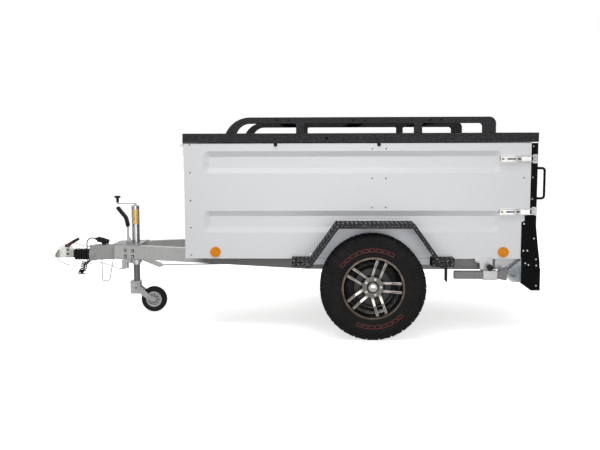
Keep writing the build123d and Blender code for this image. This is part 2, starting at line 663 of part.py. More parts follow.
with BuildPart() as prop_clamp:
    with BuildSketch(station_plane(PROP + 45)):
        with Locations((leg_y, PROP_Z)):
            RectangleRounded(2 * sleeve_half, 2 * sleeve_half, 6)
            Rectangle(LEG_SIZE + 2 * SLEEVE_GAP, LEG_SIZE + 2 * SLEEVE_GAP, mode=Mode.SUBTRACT)
    extrude(amount=90)
    with BuildSketch(side_plane(leg_y - sleeve_half)):
        with Locations((PROP, PROP_Z)):
            Circle(PROP_PIN + 0.1)
    extrude(amount=SLEEVE_WALL, mode=Mode.SUBTRACT)
    with BuildSketch(plan_plane(PROP_Z + sleeve_half + 22)):
        with Locations((PROP, leg_y + 4)):
            Circle(11)
    extrude(amount=22)
    with BuildSketch(side_plane(leg_y + 4)):
        with Locations((PROP, PROP_Z + sleeve_half + 20)):
            RegularPolygon(18, 8)
    extrude(amount=22)
save_pair(prop_clamp.part, "prop_clamp")

with BuildPart() as prop_leg:
    with BuildSketch(station_plane(LEG_BACK)):
        with Locations((leg_y, PROP_Z)):
            RectangleRounded(LEG_SIZE, LEG_SIZE, 5)
    extrude(amount=LEG_BACK - LEG_FRONT)
    with BuildSketch(side_plane(LEG_INNER)):
        with BuildLine():
            Polyline((LEG_BACK, PROP_Z + 25), (LEG_BACK, PROP_Z - 25), (LEG_BACK + 44, PROP_Z - 34),
                     (LEG_BACK + 52, PROP_Z - 30), (LEG_BACK + 52, PROP_Z + 46),
                     (LEG_BACK + 46, PROP_Z + 46), close=True)
        make_face()
    extrude(amount=LEG_SIZE)
save_pair(prop_leg.part, "prop_leg")

# ---- drawbar head: plates, overrun housing, draw tube, bellows and tow head ----------------------
BEAM_BOTTOM = FLOOR_Z - BEAM_HEIGHT
HEAD_FRONT, HEAD_BACK = -640, -430
TUBE_R, TUBE_BORE, INNER_R = 30, 24.4, 24
tangent = (BEAM_Y - V_START_Y) / (V_BEND - V_START)


def beam_inner(station):
    """Y of the left beam's inner face in its slanted run."""
    return V_START_Y + tangent * (station - V_START) - BEAM_WIDTH / 2 * hypot(1, tangent)


def beam_outer(station):
    return beam_inner(station) + BEAM_WIDTH * hypot(1, tangent)


with BuildPart() as head_plates:
    for top in (FLOOR_Z + 6, BEAM_BOTTOM):
        with BuildSketch(plan_plane(top)):
            with BuildLine():
                Polyline((HEAD_FRONT, -beam_outer(HEAD_FRONT) + 8), (HEAD_FRONT, beam_outer(HEAD_FRONT) - 8),
                         (HEAD_BACK, beam_outer(HEAD_BACK) - 8), (HEAD_BACK, 8 - beam_outer(HEAD_BACK)),
                         close=True)
            make_face()
            with Locations((JOCKEY, 0)):
                Circle(TUBE_R + 0.2, mode=Mode.SUBTRACT)
        extrude(amount=6)
save(head_plates.part, "head_plates")

HOUSING_FRONT, SLEEVE_R, DRAW_R = -842, 49, 25       # front face, sleeve, draw tube
HOUSING_HALF, SLEEVE_BACK = 42, -800
GLAND_SLOPE = 40                                      # degrees below level, pointing forwards
GLAND = (-842, 30, 395.3)                             # seat of the cable gland on its boss
GLAND_R, GLAND_LENGTH = 7.5, 14
LOOP_WIRE, LOOP_BEND = 2.5, 22


def gland_plane(reach):
    """Plane across the gland's axis, this far out from its seat."""
    forward, down = cos(radians(GLAND_SLOPE)), sin(radians(GLAND_SLOPE))
    station, y, z = GLAND
    return Plane(origin=point(station - reach * forward, y, z - reach * down),
                 x_dir=(0, 1, 0), z_dir=(forward, 0, -down))


with BuildPart() as safety_loop:
    with BuildLine():
        FilletPolyline(point(-750, 32, 410), point(-728, 104, 253), point(-674, 104, 253),
                       point(-662, 32, 410), radius=LOOP_BEND)
    with BuildSketch(Plane(origin=point(-750, 32, 410), z_dir=(-22, 72, -157))):
        Circle(LOOP_WIRE)
    sweep()
save(safety_loop.part, "safety_loop")

with BuildPart() as housing:
    with BuildSketch(side_plane(-HOUSING_HALF)):
        with BuildLine():
            Polyline((-836, 402), (-836, 499), (-811, 515), (-648, 515), (-648, 408), (-780, 402),
                     close=True)
        make_face()
    extrude(amount=2 * HOUSING_HALF)
    fillet(housing.edges().filter_by(Axis.X), 12)
    with BuildSketch(station_plane(SLEEVE_BACK)):
        with Locations((0, TOW_Z)):
            Circle(SLEEVE_R)
    extrude(amount=SLEEVE_BACK - HOUSING_FRONT)
    with BuildSketch(plan_plane(FLOOR_Z - 4)):
        with BuildLine():
            Polyline((-650, -40), (-650, 40), (-640, beam_inner(-640) - 0.1),
                     (-540, beam_inner(-540) - 0.1), (-540, 0.1 - beam_inner(-540)),
                     (-640, 0.1 - beam_inner(-640)), close=True)
        make_face()
    extrude(amount=BEAM_HEIGHT - 8)
    with BuildSketch(gland_plane(-30)):
        Circle(10)
    extrude(amount=30)
    with BuildSketch(side_plane(8)):
        with Locations((HOUSING_FRONT + 9, 496)):
            RectangleRounded(18, 34, 4)
    extrude(amount=12)
    with BuildSketch(station_plane(SLEEVE_BACK)):
        with Locations((0, TOW_Z)):
            Circle(DRAW_R + 0.4)
    extrude(amount=SLEEVE_BACK - HOUSING_FRONT, mode=Mode.SUBTRACT)
    add(safety_loop.part, mode=Mode.SUBTRACT)
save(housing.part, "overrun_housing")

SOCKET, SOCKET_Z, SOCKET_R, HEAD_LOW, HEAD_HIGH = -1064, 443, 25.2, 420, 500
CUP_R, NECK_HALF, NECK_BACK = 47, 34, -965
CUP = CUP_R - NOSE_REACH
with BuildPart() as tow_head:
    with BuildSketch(plan_plane(HEAD_HIGH)):
        with Locations((CUP, 0)):
            Circle(CUP_R)
        with BuildLine():
            Polyline((CUP, CUP_R), (-1020, NECK_HALF), (NECK_BACK, NECK_HALF),
                     (NECK_BACK, -NECK_HALF), (-1020, -NECK_HALF), (CUP, -CUP_R), close=True)
        make_face()
    extrude(amount=HEAD_HIGH - HEAD_LOW)
    with BuildSketch(side_plane(-CUP_R)):
        with BuildLine():
            Polyline((NECK_BACK, HEAD_LOW), (-NOSE_REACH, HEAD_LOW), (-NOSE_REACH, 432))
            ThreePointArc((-NOSE_REACH, 432), (-1090, 463), (-1046, HEAD_HIGH))
            Polyline((-1046, HEAD_HIGH), (-1000, HEAD_HIGH), (-982, 482), (NECK_BACK, 476),
                     (NECK_BACK, HEAD_LOW))
        make_face()
    extrude(amount=2 * CUP_R, mode=Mode.INTERSECT)
    with BuildSketch(plan_plane(HEAD_LOW + 5)):
        with Locations((CUP, 0)):
            Circle(CUP_R)
        with Locations((CUP + 50, 0)):
            Rectangle(100, 2 * NECK_HALF + 8)
    extrude(amount=5)
    for station, height, length in ((-1034, 478, 0), (-1008, 478, 8), (-1016, 447, 26)):
        for y in (-NECK_HALF, NECK_HALF - 3):
            with BuildSketch(side_plane(y)):
                with Locations((station, height)):
                    if length:
                        SlotCenterToCenter(length, 12)
                    else:
                        Circle(6)
            extrude(amount=3, mode=Mode.SUBTRACT)
    with BuildSketch(station_plane(-806)):
        with Locations((0, TOW_Z)):
            Circle(DRAW_R)
    extrude(amount=170)
    with BuildSketch(plan_plane(SOCKET_Z)):
        with Locations((SOCKET, 0)):
            Circle(SOCKET_R)
    extrude(amount=SOCKET_Z - HEAD_LOW, mode=Mode.SUBTRACT)
    with Locations(point(SOCKET, 0, SOCKET_Z)):
        Sphere(SOCKET_R, mode=Mode.SUBTRACT)
save(tow_head.part, "tow_head")

BELLOWS_FRONT, BELLOWS_BACK, BELLOWS_OUT, BELLOWS_IN, FOLDS = -963, -844, 43, 33, 6
with BuildPart() as bellows:
    pitch = (BELLOWS_BACK - BELLOWS_FRONT) / FOLDS
    with BuildSketch(side_plane(0)):
        with BuildLine():
            for fold in range(FOLDS):
                start = BELLOWS_FRONT + fold * pitch
                Polyline((start, TOW_Z + BELLOWS_IN), (start + 0.3 * pitch, TOW_Z + BELLOWS_OUT),
                         (start + 0.7 * pitch, TOW_Z + BELLOWS_OUT), (start + pitch, TOW_Z + BELLOWS_IN))
            Polyline((BELLOWS_BACK, TOW_Z + BELLOWS_IN), (BELLOWS_BACK, TOW_Z + DRAW_R + 0.2),
                     (BELLOWS_FRONT, TOW_Z + DRAW_R + 0.2), (BELLOWS_FRONT, TOW_Z + BELLOWS_IN))
        make_face()
    revolve(axis=Axis(point(0, 0, TOW_Z), (1, 0, 0)))
save(bellows.part, "bellows")

LEVER_Y, GRIP_R, GRIP_LOW = 51, 13, 655               # handbrake lever and its grip
CRANK_END, CRANK_Z, KNOB_LOW = -626, 826, 836         # jockey wheel's crank handle
with BuildPart() as tow_lever:
    with BuildSketch(side_plane(-16)):
        with BuildLine():
            Polyline((-1036, HEAD_HIGH), (-1036, 510), (-975, 548), (-965, 528), (-1006, HEAD_HIGH),
                     close=True)
        make_face()
    extrude(amount=32)
    with BuildSketch(side_plane(-5)):
        with BuildLine():
            Polyline((-1010, 505), (-996, 516), (-988, 514), (-1001, HEAD_HIGH), (-1010, HEAD_HIGH),
                     close=True)
        make_face()
    extrude(amount=10)
save(tow_lever.part, "tow_lever")

with BuildPart() as handbrake_lever:
    with BuildSketch(side_plane(LEVER_Y - 4)):
        with BuildLine():
            Polyline((-560, FLOOR_Z + 6), (-504, FLOOR_Z + 6), (-518, 560), (-532, 590),
                     (-532, GRIP_LOW + 36), (-547, GRIP_LOW + 36), (-548, 560), close=True)
        make_face()
    extrude(amount=8)
save(handbrake_lever.part, "handbrake_lever")

with BuildPart() as grips:
    with BuildSketch(side_plane(-16)):
        with BuildLine():
            Polyline((-975, 548), (-965, 528), (-930, 549), (-934, 568), close=True)
        make_face()
    extrude(amount=32)
    with BuildSketch(side_plane(LEVER_Y - GRIP_R)):
        with BuildLine():
            spine = FilletPolyline((-539, GRIP_LOW + GRIP_R), (-551, 726), (-608, 796), radius=40)
            offset(spine, amount=GRIP_R, side=Side.BOTH)
        make_face()
    extrude(amount=2 * GRIP_R)
    add(handbrake_lever.part, mode=Mode.SUBTRACT)
    with BuildSketch(side_plane(0)):
        with BuildLine():
            Polyline((CRANK_END, KNOB_LOW), (CRANK_END - 10, KNOB_LOW), (CRANK_END - 11, 866),
                     (CRANK_END - 24, 874), (CRANK_END - 24, 882), (CRANK_END - 18, 886),
                     (CRANK_END, 886), close=True)
        make_face()
    revolve(axis=Axis(point(CRANK_END, 0, 0), (0, 0, 1)))
save(grips.part, "grips")

# ---- jockey wheel --------------------------------------------------------------------------------
TUBE_LOW, TUBE_HIGH, CAP = 365, 804, 8
COLLAR_TOP, COLLAR_HEIGHT, COLLAR_R = 415, 36, 42
CLAMP_BOLT, ANCHOR, ANCHOR_LOW = JOCKEY - 74, -606, 325
with BuildPart() as jockey_tube:
    with BuildSketch(plan_plane(TUBE_HIGH)):
        with Locations((JOCKEY, 0)):
            Circle(TUBE_R)
            Circle(TUBE_BORE, mode=Mode.SUBTRACT)
    extrude(amount=TUBE_HIGH - TUBE_LOW)
    with BuildSketch(plan_plane(TUBE_HIGH + CAP)):
        with Locations((JOCKEY, 0)):
            Circle(TUBE_R)
    extrude(amount=CAP)
    with BuildSketch(plan_plane(CRANK_Z)):
        with Locations((JOCKEY, 0)):
            Circle(9)
    extrude(amount=CRANK_Z - TUBE_HIGH)
    with BuildSketch(plan_plane(CRANK_Z + 5)):
        with Locations(((JOCKEY + CRANK_END) / 2, 0)):
            SlotCenterToCenter(JOCKEY - CRANK_END, 18)
    extrude(amount=7)
    with BuildSketch(plan_plane(KNOB_LOW)):
        with Locations((CRANK_END, 0)):
            Circle(7)
    extrude(amount=KNOB_LOW - CRANK_Z)
    with BuildSketch(plan_plane(COLLAR_TOP)):
        with Locations((JOCKEY, 0)):
            Circle(COLLAR_R)
        with Locations((JOCKEY - 62, 0)):
            Rectangle(72, 22)
        with Locations((JOCKEY, 0)):
            Circle(TUBE_R - 1, mode=Mode.SUBTRACT)
    extrude(amount=COLLAR_HEIGHT)
    with BuildSketch(plan_plane(COLLAR_TOP - COLLAR_HEIGHT + 1)):
        with Locations((CLAMP_BOLT, 0)):
            RegularPolygon(13, 6)
    extrude(amount=46)
    with BuildSketch(side_plane(-4)):
        with BuildLine():
            Polyline((JOCKEY - TUBE_R + 2, COLLAR_TOP - 17), (JOCKEY - TUBE_R + 2, COLLAR_TOP - 42),
                     (-554, COLLAR_TOP - 42), (-554, ANCHOR_LOW + 14), (-584, ANCHOR_LOW),
                     (ANCHOR, ANCHOR_LOW), (ANCHOR, COLLAR_TOP - 17), close=True)
        make_face()
    extrude(amount=8)
save(jockey_tube.part, "jockey_tube")

WHEEL_STATION = JOCKEY + JOCKEY_TRAIL
FORK_TOP, FORK_FRONT, FORK_BACK = 240, -536, -464
JOCKEY_HALF, JOCKEY_RIM, JOCKEY_PIN, JOCKEY_SIDES = 24, 60, 6, 32
with BuildPart() as jockey_inner:
    with BuildSketch(plan_plane(560)):
        with Locations((JOCKEY, 0)):
            Circle(INNER_R)
    extrude(amount=560 - FORK_TOP)
save(jockey_inner.part, "jockey_inner")

with BuildPart() as jockey_fork:
    for y in (29, -35):
        with BuildSketch(side_plane(y)):
            with BuildLine():
                Polyline((FORK_FRONT, FORK_TOP - 0.5), (FORK_BACK, FORK_TOP - 0.5), (FORK_BACK, 198),
                         (-389, 133), (WHEEL_STATION + 15, 110), (WHEEL_STATION + 12, 84),
                         (WHEEL_STATION - 12, 82), (-410, 98), (FORK_BACK, 142), (FORK_FRONT, 142),
                         close=True)
            make_face()
            with Locations((-494, 188)):
                Circle(9, mode=Mode.SUBTRACT)
        extrude(amount=6)
    with BuildSketch(plan_plane(FORK_TOP - 0.5)):
        with Locations(((FORK_FRONT + FORK_BACK) / 2, 0)):
            Rectangle(FORK_BACK - FORK_FRONT, 60)
    extrude(amount=10)
    with BuildSketch(side_plane(-30)):
        with Locations((WHEEL_STATION, JOCKEY_R)):
            Circle(JOCKEY_PIN)
    extrude(amount=60)
save(jockey_fork.part, "jockey_fork")

JOCKEY_AXIS = cross_axis(WHEEL_STATION, JOCKEY_R)
with BuildPart() as jockey_wheel:
    with BuildSketch(station_plane(WHEEL_STATION)):
        with BuildLine():
            Polyline((0, JOCKEY_R + JOCKEY_PIN + 0.3), (JOCKEY_HALF, JOCKEY_R + JOCKEY_PIN + 0.3),
                     (JOCKEY_HALF, JOCKEY_R + 20), (8, JOCKEY_R + 26), (8, JOCKEY_R + 48),
                     (JOCKEY_HALF - 4, JOCKEY_R + 52), (JOCKEY_HALF - 4, JOCKEY_R + JOCKEY_RIM),
                     (0, JOCKEY_R + JOCKEY_RIM), close=True)
        make_face()
        mirror(about=Plane.YZ)
    revolve(axis=JOCKEY_AXIS)
save(jockey_wheel.part, "jockey_wheel")

with BuildPart() as jockey_tyre:
    for y, radius in ((-21, 62), (-JOCKEY_HALF, 76), (-20, 90), (-12, JOCKEY_R), (12, JOCKEY_R),
                      (20, 90), (JOCKEY_HALF, 76), (21, 62)):
        with BuildSketch(wheel_plane(y, WHEEL_STATION, JOCKEY_R)):
            RegularPolygon(radius, JOCKEY_SIDES)
    loft(ruled=True)
    with BuildSketch(wheel_plane(-JOCKEY_HALF, WHEEL_STATION, JOCKEY_R)):
        RegularPolygon(JOCKEY_RIM + 0.1, JOCKEY_SIDES, major_radius=False)
    extrude(amount=2 * JOCKEY_HALF, mode=Mode.SUBTRACT)
save(jockey_tyre.part, "jockey_tyre")

# ---- brake rod and its reaction arm ---------------------------------------------------------------
with BuildPart() as brake_rod:
    with BuildSketch(side_plane(10)):
        with BuildLine():
            Polyline((-447, BEAM_BOTTOM - 6), (-430, BEAM_BOTTOM - 6), (-300, 378), (-288, 352),
                     (-316, 342), (-447, 396), close=True)
        make_face()
    extrude(amount=6)
    start, finish = Vector(*point(-300, 4, 360)), Vector(*point(1072, 4, 385))
    with BuildSketch(Plane(origin=start, z_dir=finish - start)):
        Circle(5)
    extrude(amount=(finish - start).length)
    with BuildSketch(side_plane(2)):
        with Locations((-300, 360)):
            Circle(8)
    extrude(amount=8)
save(brake_rod.part, "brake_rod")

# ---- parked plug, its holder and the two free cables ------------------------------------------------
PLUG_FRONT, PLUG_Z, PLUG_SLOPE = -806, 561, 13.5      # cable end of the plug, and its tilt
PLUG_PROFILE = ((0, 0), (0, 7), (20, 13), (22, 21), (40, 21), (42, 18), (46, 18), (48, 21),
                (72, 21), (74, 19), (108, 18), (108, 0))
HOLDER_SPAN = (-752, -722)


def along_plug(reach, across=0.0):
    """Station and height of a place on the plug's axis, or this far above it."""
    slope = radians(PLUG_SLOPE)
    return (PLUG_FRONT + reach * cos(slope) + across * sin(slope),
            PLUG_Z - reach * sin(slope) + across * cos(slope))


with BuildPart() as plug:
    with BuildSketch(side_plane(0)):
        with BuildLine():
            Polyline(*(along_plug(*place) for place in PLUG_PROFILE), close=True)
        make_face()
    slope = radians(PLUG_SLOPE)
    revolve(axis=Axis(point(PLUG_FRONT, 0, PLUG_Z), (-cos(slope), 0, -sin(slope))))
save(plug.part, "plug")

with BuildPart() as plug_holder:
    with BuildSketch(side_plane(-14)):
        with Locations((sum(HOLDER_SPAN) / 2, 528)):
            Rectangle(HOLDER_SPAN[1] - HOLDER_SPAN[0], 26)
    extrude(amount=28)
    with BuildSketch(Plane(origin=point(PLUG_FRONT, 0, PLUG_Z), x_dir=(0, 1, 0),
                           z_dir=(-cos(slope), 0, -sin(slope)))):
        Circle(21.3)
    extrude(amount=120, mode=Mode.SUBTRACT)
    with BuildSketch(gland_plane(0)):
        RegularPolygon(GLAND_R + 2, 6)
    extrude(amount=5)
    with BuildSketch(gland_plane(5)):
        Circle(GLAND_R)
    extrude(amount=GLAND_LENGTH - 5)
save(plug_holder.part, "plug_holder")

CABLE_R, COIL_R, ROPE_R = 4, 16, 2
GLAND_MOUTH = (-852.7, 30, 386.3)
LOWER_LEAD = (GLAND_MOUTH, (-868, 30, 373.45), (-884, 30.3, 360.5), (-896.8, 30.5, 344.2),
              (-905, 31, 326))
COIL = ((-905, 31, 326), (-923, 32, 286), (-929, -32, 284), (-918, -36, 334), (-907, -37, 378))
UPPER_LEAD = ((-907, -37, 378), (-901.2, -37.5, 401.3), (-895, -54, 427), (-889, -57, 456),
              (-885, -49, 486), (-881, -33, 514), (-872, -14, 540), (-853, -4, 559),
              (-829.3, 0, 566.6), (PLUG_FRONT, 0, PLUG_Z))
BREAKAWAY = ((ANCHOR, 0, 330), (-638, 0, 330), (-680, 10, 352), (-722, 16, 369),
             (-765, 8, 375), (-812, -14, 371), (-858, -44, 363), (-905, -74, 351),
             (-950, -66, 345), (-990, -30, 349), (-1022, 14, 361), (-1052, 48, 384),
             (-1078, 62, 415), (-1087, 62, 450), (-1076, 57, 484), (-1050, 45, 508),
             (-1016, 30, 522), (-975, 24, 530), (-932, 22, 524), (-888, 14, 503),
             (HOUSING_FRONT, 14, 503))


def bend_radii(route):
    """Bend radius at each corner: 0.45 of its shorter run over the tangent of half the turn."""
    radii = []
    for before, corner, after in zip(route, route[1:], route[2:]):
        run_in, run_out = Vector(*corner) - Vector(*before), Vector(*after) - Vector(*corner)
        half_turn = radians(run_in.get_angle(run_out)) / 2
        radii.append(0.45 * min(run_in.length, run_out.length) / tan(half_turn))
    return radii


def cord_stretch(route, radius, name):
    """Tube through straight runs joined by tangent arcs, cut square at both ends."""
    places = [Vector(*point(*place)) for place in route]
    radii = bend_radii(route)
    with BuildPart() as tube:
        with BuildLine() as path:
            FilletPolyline(*places, radius=radii)
        with BuildSketch(Plane(origin=places[0], z_dir=places[1] - places[0])):
            Circle(radius)
        sweep()
    length = path.wire().length
    share = tube.part.volume / (pi * radius ** 2 * length)
    print(f"{name}: length {length:.0f}, volume share {share:.3f}, radii",
          " ".join(f"{bend:.0f}" for bend in radii))
    return tube.part


with BuildPart() as plug_cable:
    add(cord_stretch(LOWER_LEAD, CABLE_R, "lower lead"))
    add(cord_stretch(UPPER_LEAD, CABLE_R, "upper lead"))
save(plug_cable.part, "plug_cable")
save(cord_stretch(COIL, COIL_R, "curly stretch"), "plug_coil")
save(cord_stretch(BREAKAWAY, ROPE_R, "breakaway cable"), "breakaway_cable")
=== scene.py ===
from math import atan2, ceil, cos, pi, radians, sin

import bmesh
import bpy
from bpy.props import FloatProperty, FloatVectorProperty, IntProperty, PointerProperty
from mathutils import Matrix, Vector


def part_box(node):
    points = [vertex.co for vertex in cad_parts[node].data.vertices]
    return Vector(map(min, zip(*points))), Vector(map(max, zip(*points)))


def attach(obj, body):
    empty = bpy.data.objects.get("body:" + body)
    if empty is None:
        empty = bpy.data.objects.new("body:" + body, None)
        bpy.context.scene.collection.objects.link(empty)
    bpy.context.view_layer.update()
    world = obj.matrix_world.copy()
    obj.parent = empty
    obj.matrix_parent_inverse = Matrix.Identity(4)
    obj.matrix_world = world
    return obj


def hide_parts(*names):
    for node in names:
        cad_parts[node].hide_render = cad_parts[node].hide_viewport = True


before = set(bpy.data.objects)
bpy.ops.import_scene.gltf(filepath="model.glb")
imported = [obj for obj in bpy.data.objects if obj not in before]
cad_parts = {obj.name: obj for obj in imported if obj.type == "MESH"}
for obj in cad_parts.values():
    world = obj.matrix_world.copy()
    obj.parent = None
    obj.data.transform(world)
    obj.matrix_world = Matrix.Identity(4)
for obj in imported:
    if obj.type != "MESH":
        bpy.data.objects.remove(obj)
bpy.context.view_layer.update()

bl_info = {
    "name": "Off-road box trailer",
    "version": (1, 0, 0),
    "blender": (4, 5, 0),
    "location": "3D View > Sidebar > Trailer",
    "description": "Finishes, cables, tyres and small hardware of a box trailer",
    "category": "Object",
}

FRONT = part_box("side_panel_left")[1][0]         # X of the box's front face
FLANK = 0.650                                   # Y of the side sheets' outer faces
SIDES = (("left", 1), ("right", -1))
WHITE = (1, 1, 1)


def at(station, y, z):
    """A point this far behind the box's front face, in metres."""
    return Vector((FRONT - station, y, z))


def middle_of(name):
    """The middle of a CAD node's box."""
    low, high = (Vector(corner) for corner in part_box(name))
    return (low + high) / 2


WHEEL_MIDDLE = at(1.251, 0, 0.344)


# ---- settings ----

def colour(name, words, value):
    return FloatVectorProperty(name=name, description=words, default=value, size=3, min=0, max=1,
                               subtype="COLOR")


def size(name, words, value, unit="LENGTH"):
    return FloatProperty(name=name, description=words, default=value, min=0, unit=unit)


class TrailerSizes(bpy.types.PropertyGroup):
    cable: size("Plug cable", "Diameter of the plug cable", 0.008)
    curl: size("Curl", "Outer diameter of the plug cable's curly stretch", 0.038)
    curl_pitch: size("Curl pitch", "Run of one turn of the curly stretch", 0.0130)
    wire: size("Breakaway cable", "Diameter of the breakaway cable", 0.004)
    rivet: size("Rivet", "Radius of a blind rivet's head", 0.0052)
    bolt: size("Bolt", "Radius of a hexagon bolt's head", 0.0075)
    plate_pitch: size("Tread pitch", "Distance between the bars of the tread plate", 0.030)
    tyre_steps: IntProperty(name="Tyre steps", description="Segments round the tyre's casing",
                            default=130, min=26)
    floor: size("Floor", "Side of the floor", 60.0)
    lens: size("Lens", "Focal length in millimetres", 46.2, "NONE")


class TrailerColours(bpy.types.PropertyGroup):
    sheet: colour("Sheet", "Galvanised side, front and tailgate sheets", (0.575, 0.58, 0.59))
    beam: colour("Chassis", "Galvanised chassis steel", (0.43, 0.425, 0.42))
    zinc: colour("Zinc", "Bright zinc plated hardware", (0.32, 0.32, 0.325))
    coat: colour("Black coat", "Textured powder coat of lid, rack, gate and guards",
                 (0.0200, 0.0200, 0.0212))
    tread: colour("Tread plate", "Dark tread plate of fenders and steps", (0.030, 0.030, 0.031))
    rubber: colour("Rubber", "Tyres, bellows and seals", (0.0085, 0.0080, 0.0085))
    rim: colour("Rim", "Dark part of the rims", (0.030, 0.029, 0.030))
    machined: colour("Machined", "Turned faces of the rims", (0.30, 0.28, 0.255))
    amber: colour("Amber", "Side reflectors", (0.82, 0.27, 0.003))
    red: colour("Red lamp", "Rear lamps", (0.45, 0.012, 0.010))
    lever: colour("Lever", "Coupling lever", (0.062, 0.012, 0.010))
    yellow: colour("Jack plate", "Blank plate on the jockey tube", (0.68, 0.43, 0.09))
    floor: colour("Floor", "Plain floor", (0.90, 0.90, 0.90))


# ---- shader helpers ----

def feed(tree, socket, value):
    """Gives a socket a link, a number or a colour."""
    if isinstance(value, bpy.types.NodeSocket):
        tree.links.new(value, socket)
    elif socket.type == "RGBA":
        socket.default_value = (*value, 1)
    else:
        socket.default_value = value


def node(tree, kind, *ordered, **named):
    """A shader node: its sockets are fed in order or by name, other names are properties."""
    made = tree.nodes.new("ShaderNode" + kind)
    for key, value in named.items():
        socket = made.inputs.get(key.replace("_", " "))
        if socket is None:
            setattr(made, key, value)
        else:
            feed(tree, socket, value)
    for socket, value in zip(made.inputs, ordered):
        feed(tree, socket, value)
    return made


def worked(tree, operation, *values):
    """The result of a Math node."""
    return node(tree, "Math", *values, operation=operation).outputs[0]


def finish(name, base, roughness, metallic=0.0, **shader):
    """A material with its shader's plain values set."""
    made = bpy.data.materials.new(name)
    made.use_nodes = True
    made.diffuse_color = (*base, 1)
    inputs = made.node_tree.nodes["Principled BSDF"].inputs
    plain = {"Base Color": base, "Roughness": roughness, "Metallic": metallic, **shader}
    for key, value in plain.items():
        feed(made.node_tree, inputs[key.replace("_", " ")], value)
    return made


def patterned(*plain, **shader):
    """A new material with its tree, and object coordinates for its patterns."""
    made = finish(*plain, **shader)
    return made, made.node_tree, place_of(made.node_tree)


def place_of(tree, centre=(0, 0, 0), scale=(1, 1, 1)):
    """Object coordinates, moved and scaled for a pattern."""
    back = tuple(-c * s for c, s in zip(centre, scale))
    return node(tree, "Mapping", Vector=node(tree, "TexCoord").outputs["Object"], Location=back,
                Scale=scale).outputs["Vector"]


def from_axle(tree, centre):
    """Distance from a wheel's axle."""
    place = place_of(tree, centre, (1, 0, 1))
    return node(tree, "VectorMath", place, operation="LENGTH").outputs["Value"]


def noise(tree, where, scale, detail):
    """A cloud pattern, 0 to 1."""
    return node(tree, "TexNoise", Vector=where, Scale=scale, Detail=detail).outputs["Fac"]


def cells(tree, where, scale, feature="F1"):
    """Outputs of a cell pattern."""
    return node(tree, "TexVoronoi", Vector=where, Scale=scale, feature=feature).outputs


def ramp(tree, factor, *stops):
    """Colours along a factor, as (position, colour) stops."""
    made = node(tree, "ValToRGB", factor)
    while len(made.color_ramp.elements) < len(stops):
        made.color_ramp.elements.new(1.0)
    for element, (position, tone) in zip(made.color_ramp.elements, stops):
        element.position = position
        element.color = (*tone, 1)
    return made.outputs["Color"]


def tones(tree, factor, tone, *stops):
    """Shades of one tone along a factor, as (position, brightness) stops."""
    return ramp(tree, factor, *((position, shade(tone, bright)) for position, bright in stops))


def levels(tree, factor, low, high, span=(0.3, 0.7)):
    """The factor's span, a noise's usual one unless given, stretched to low..high."""
    return node(tree, "MapRange", Value=factor, From_Min=span[0], From_Max=span[1], To_Min=low,
                To_Max=high).outputs["Result"]


def blended(tree, factor, first, second, mode="MIX"):
    """Two colours mixed by a factor."""
    made = node(tree, "Mix", data_type="RGBA", blend_type=mode)
    for index, value in ((0, factor), (6, first), (7, second)):     # Factor, A and B of a colour
        feed(tree, made.inputs[index], value)
    return made.outputs[2]


def shade(tone, factor):
    """A tone made this much brighter."""
    return tuple(min(1.0, part * factor) for part in tone)


def base_of(made):
    """The link that colours a finish."""
    return made.node_tree.nodes["Principled BSDF"].inputs["Base Color"].links[0].from_socket


def connect(made, base, roughness=None, height=None, strength=None, distance=None):
    """Links colour, roughness and bump height to the material's shader."""
    tree = made.node_tree
    shader = tree.nodes["Principled BSDF"]
    tree.links.new(base, shader.inputs["Base Color"])
    if roughness is not None:
        tree.links.new(roughness, shader.inputs["Roughness"])
    if height is not None:
        bump = node(tree, "Bump", Height=height, Strength=strength, Distance=distance)
        tree.links.new(bump.outputs["Normal"], shader.inputs["Normal"])
    return made


# ---- finishes ----

UNDER_BOX_SHADE_ENDS, UNDER_BOX_SHADE = (FRONT - 0.08, FRONT + 0.02), 0.31      # X where the painted shade under the box fades out; how dark it is
GUARD_EDGE = at(2.246, 0, 0.515)                # rear and top edges of the guards' bare plate
RING_PITCH = 0.009                              # of the fine rings on a tyre's flank
RIM_SPAN = (0.05, 0.21)                         # radii over which a rim's tones change: painted shade towards the hub, painted highlights at the spokes' ends and the lip's edge


def galvanised(name, tone, metallic=0.35, rough=(0.38, 0.52), spangle=55.0, dirt=0.06,
               mottle=0.03, gloss=0.3):
    """Hot-dip zinc: soft spangle, cloudy tone and fine rolling grain."""
    made, tree, where = patterned(name, tone, 0.45, metallic, Specular_IOR_Level=gloss)
    flakes = node(tree, "SeparateColor", cells(tree, where, spangle)["Color"]).outputs["Red"]
    clouds = noise(tree, where, 2.6, 4)
    sheet = blended(tree, flakes, shade(tone, 1 - mottle), shade(tone, 1 + mottle))
    stain = tones(tree, clouds, WHITE, (0.30, 1 - dirt), (0.62, 1))
    base = blended(tree, 1.0, sheet, stain, "MULTIPLY")
    grain = noise(tree, place_of(tree, scale=(1, 6, 1)), 420, 2)
    return connect(made, base, levels(tree, clouds, *rough), grain, 0.10, 0.0004)


def shaded_under_box(made):
    """Darkens a finish where the part runs on under the box: painted shade under the box."""
    tree = made.node_tree
    ahead = node(tree, "SeparateXYZ", place_of(tree)).outputs["X"]
    under_box_shade = levels(tree, ahead, UNDER_BOX_SHADE, 1.0, UNDER_BOX_SHADE_ENDS)
    return connect(made, blended(tree, 1.0, base_of(made), under_box_shade, "MULTIPLY"))


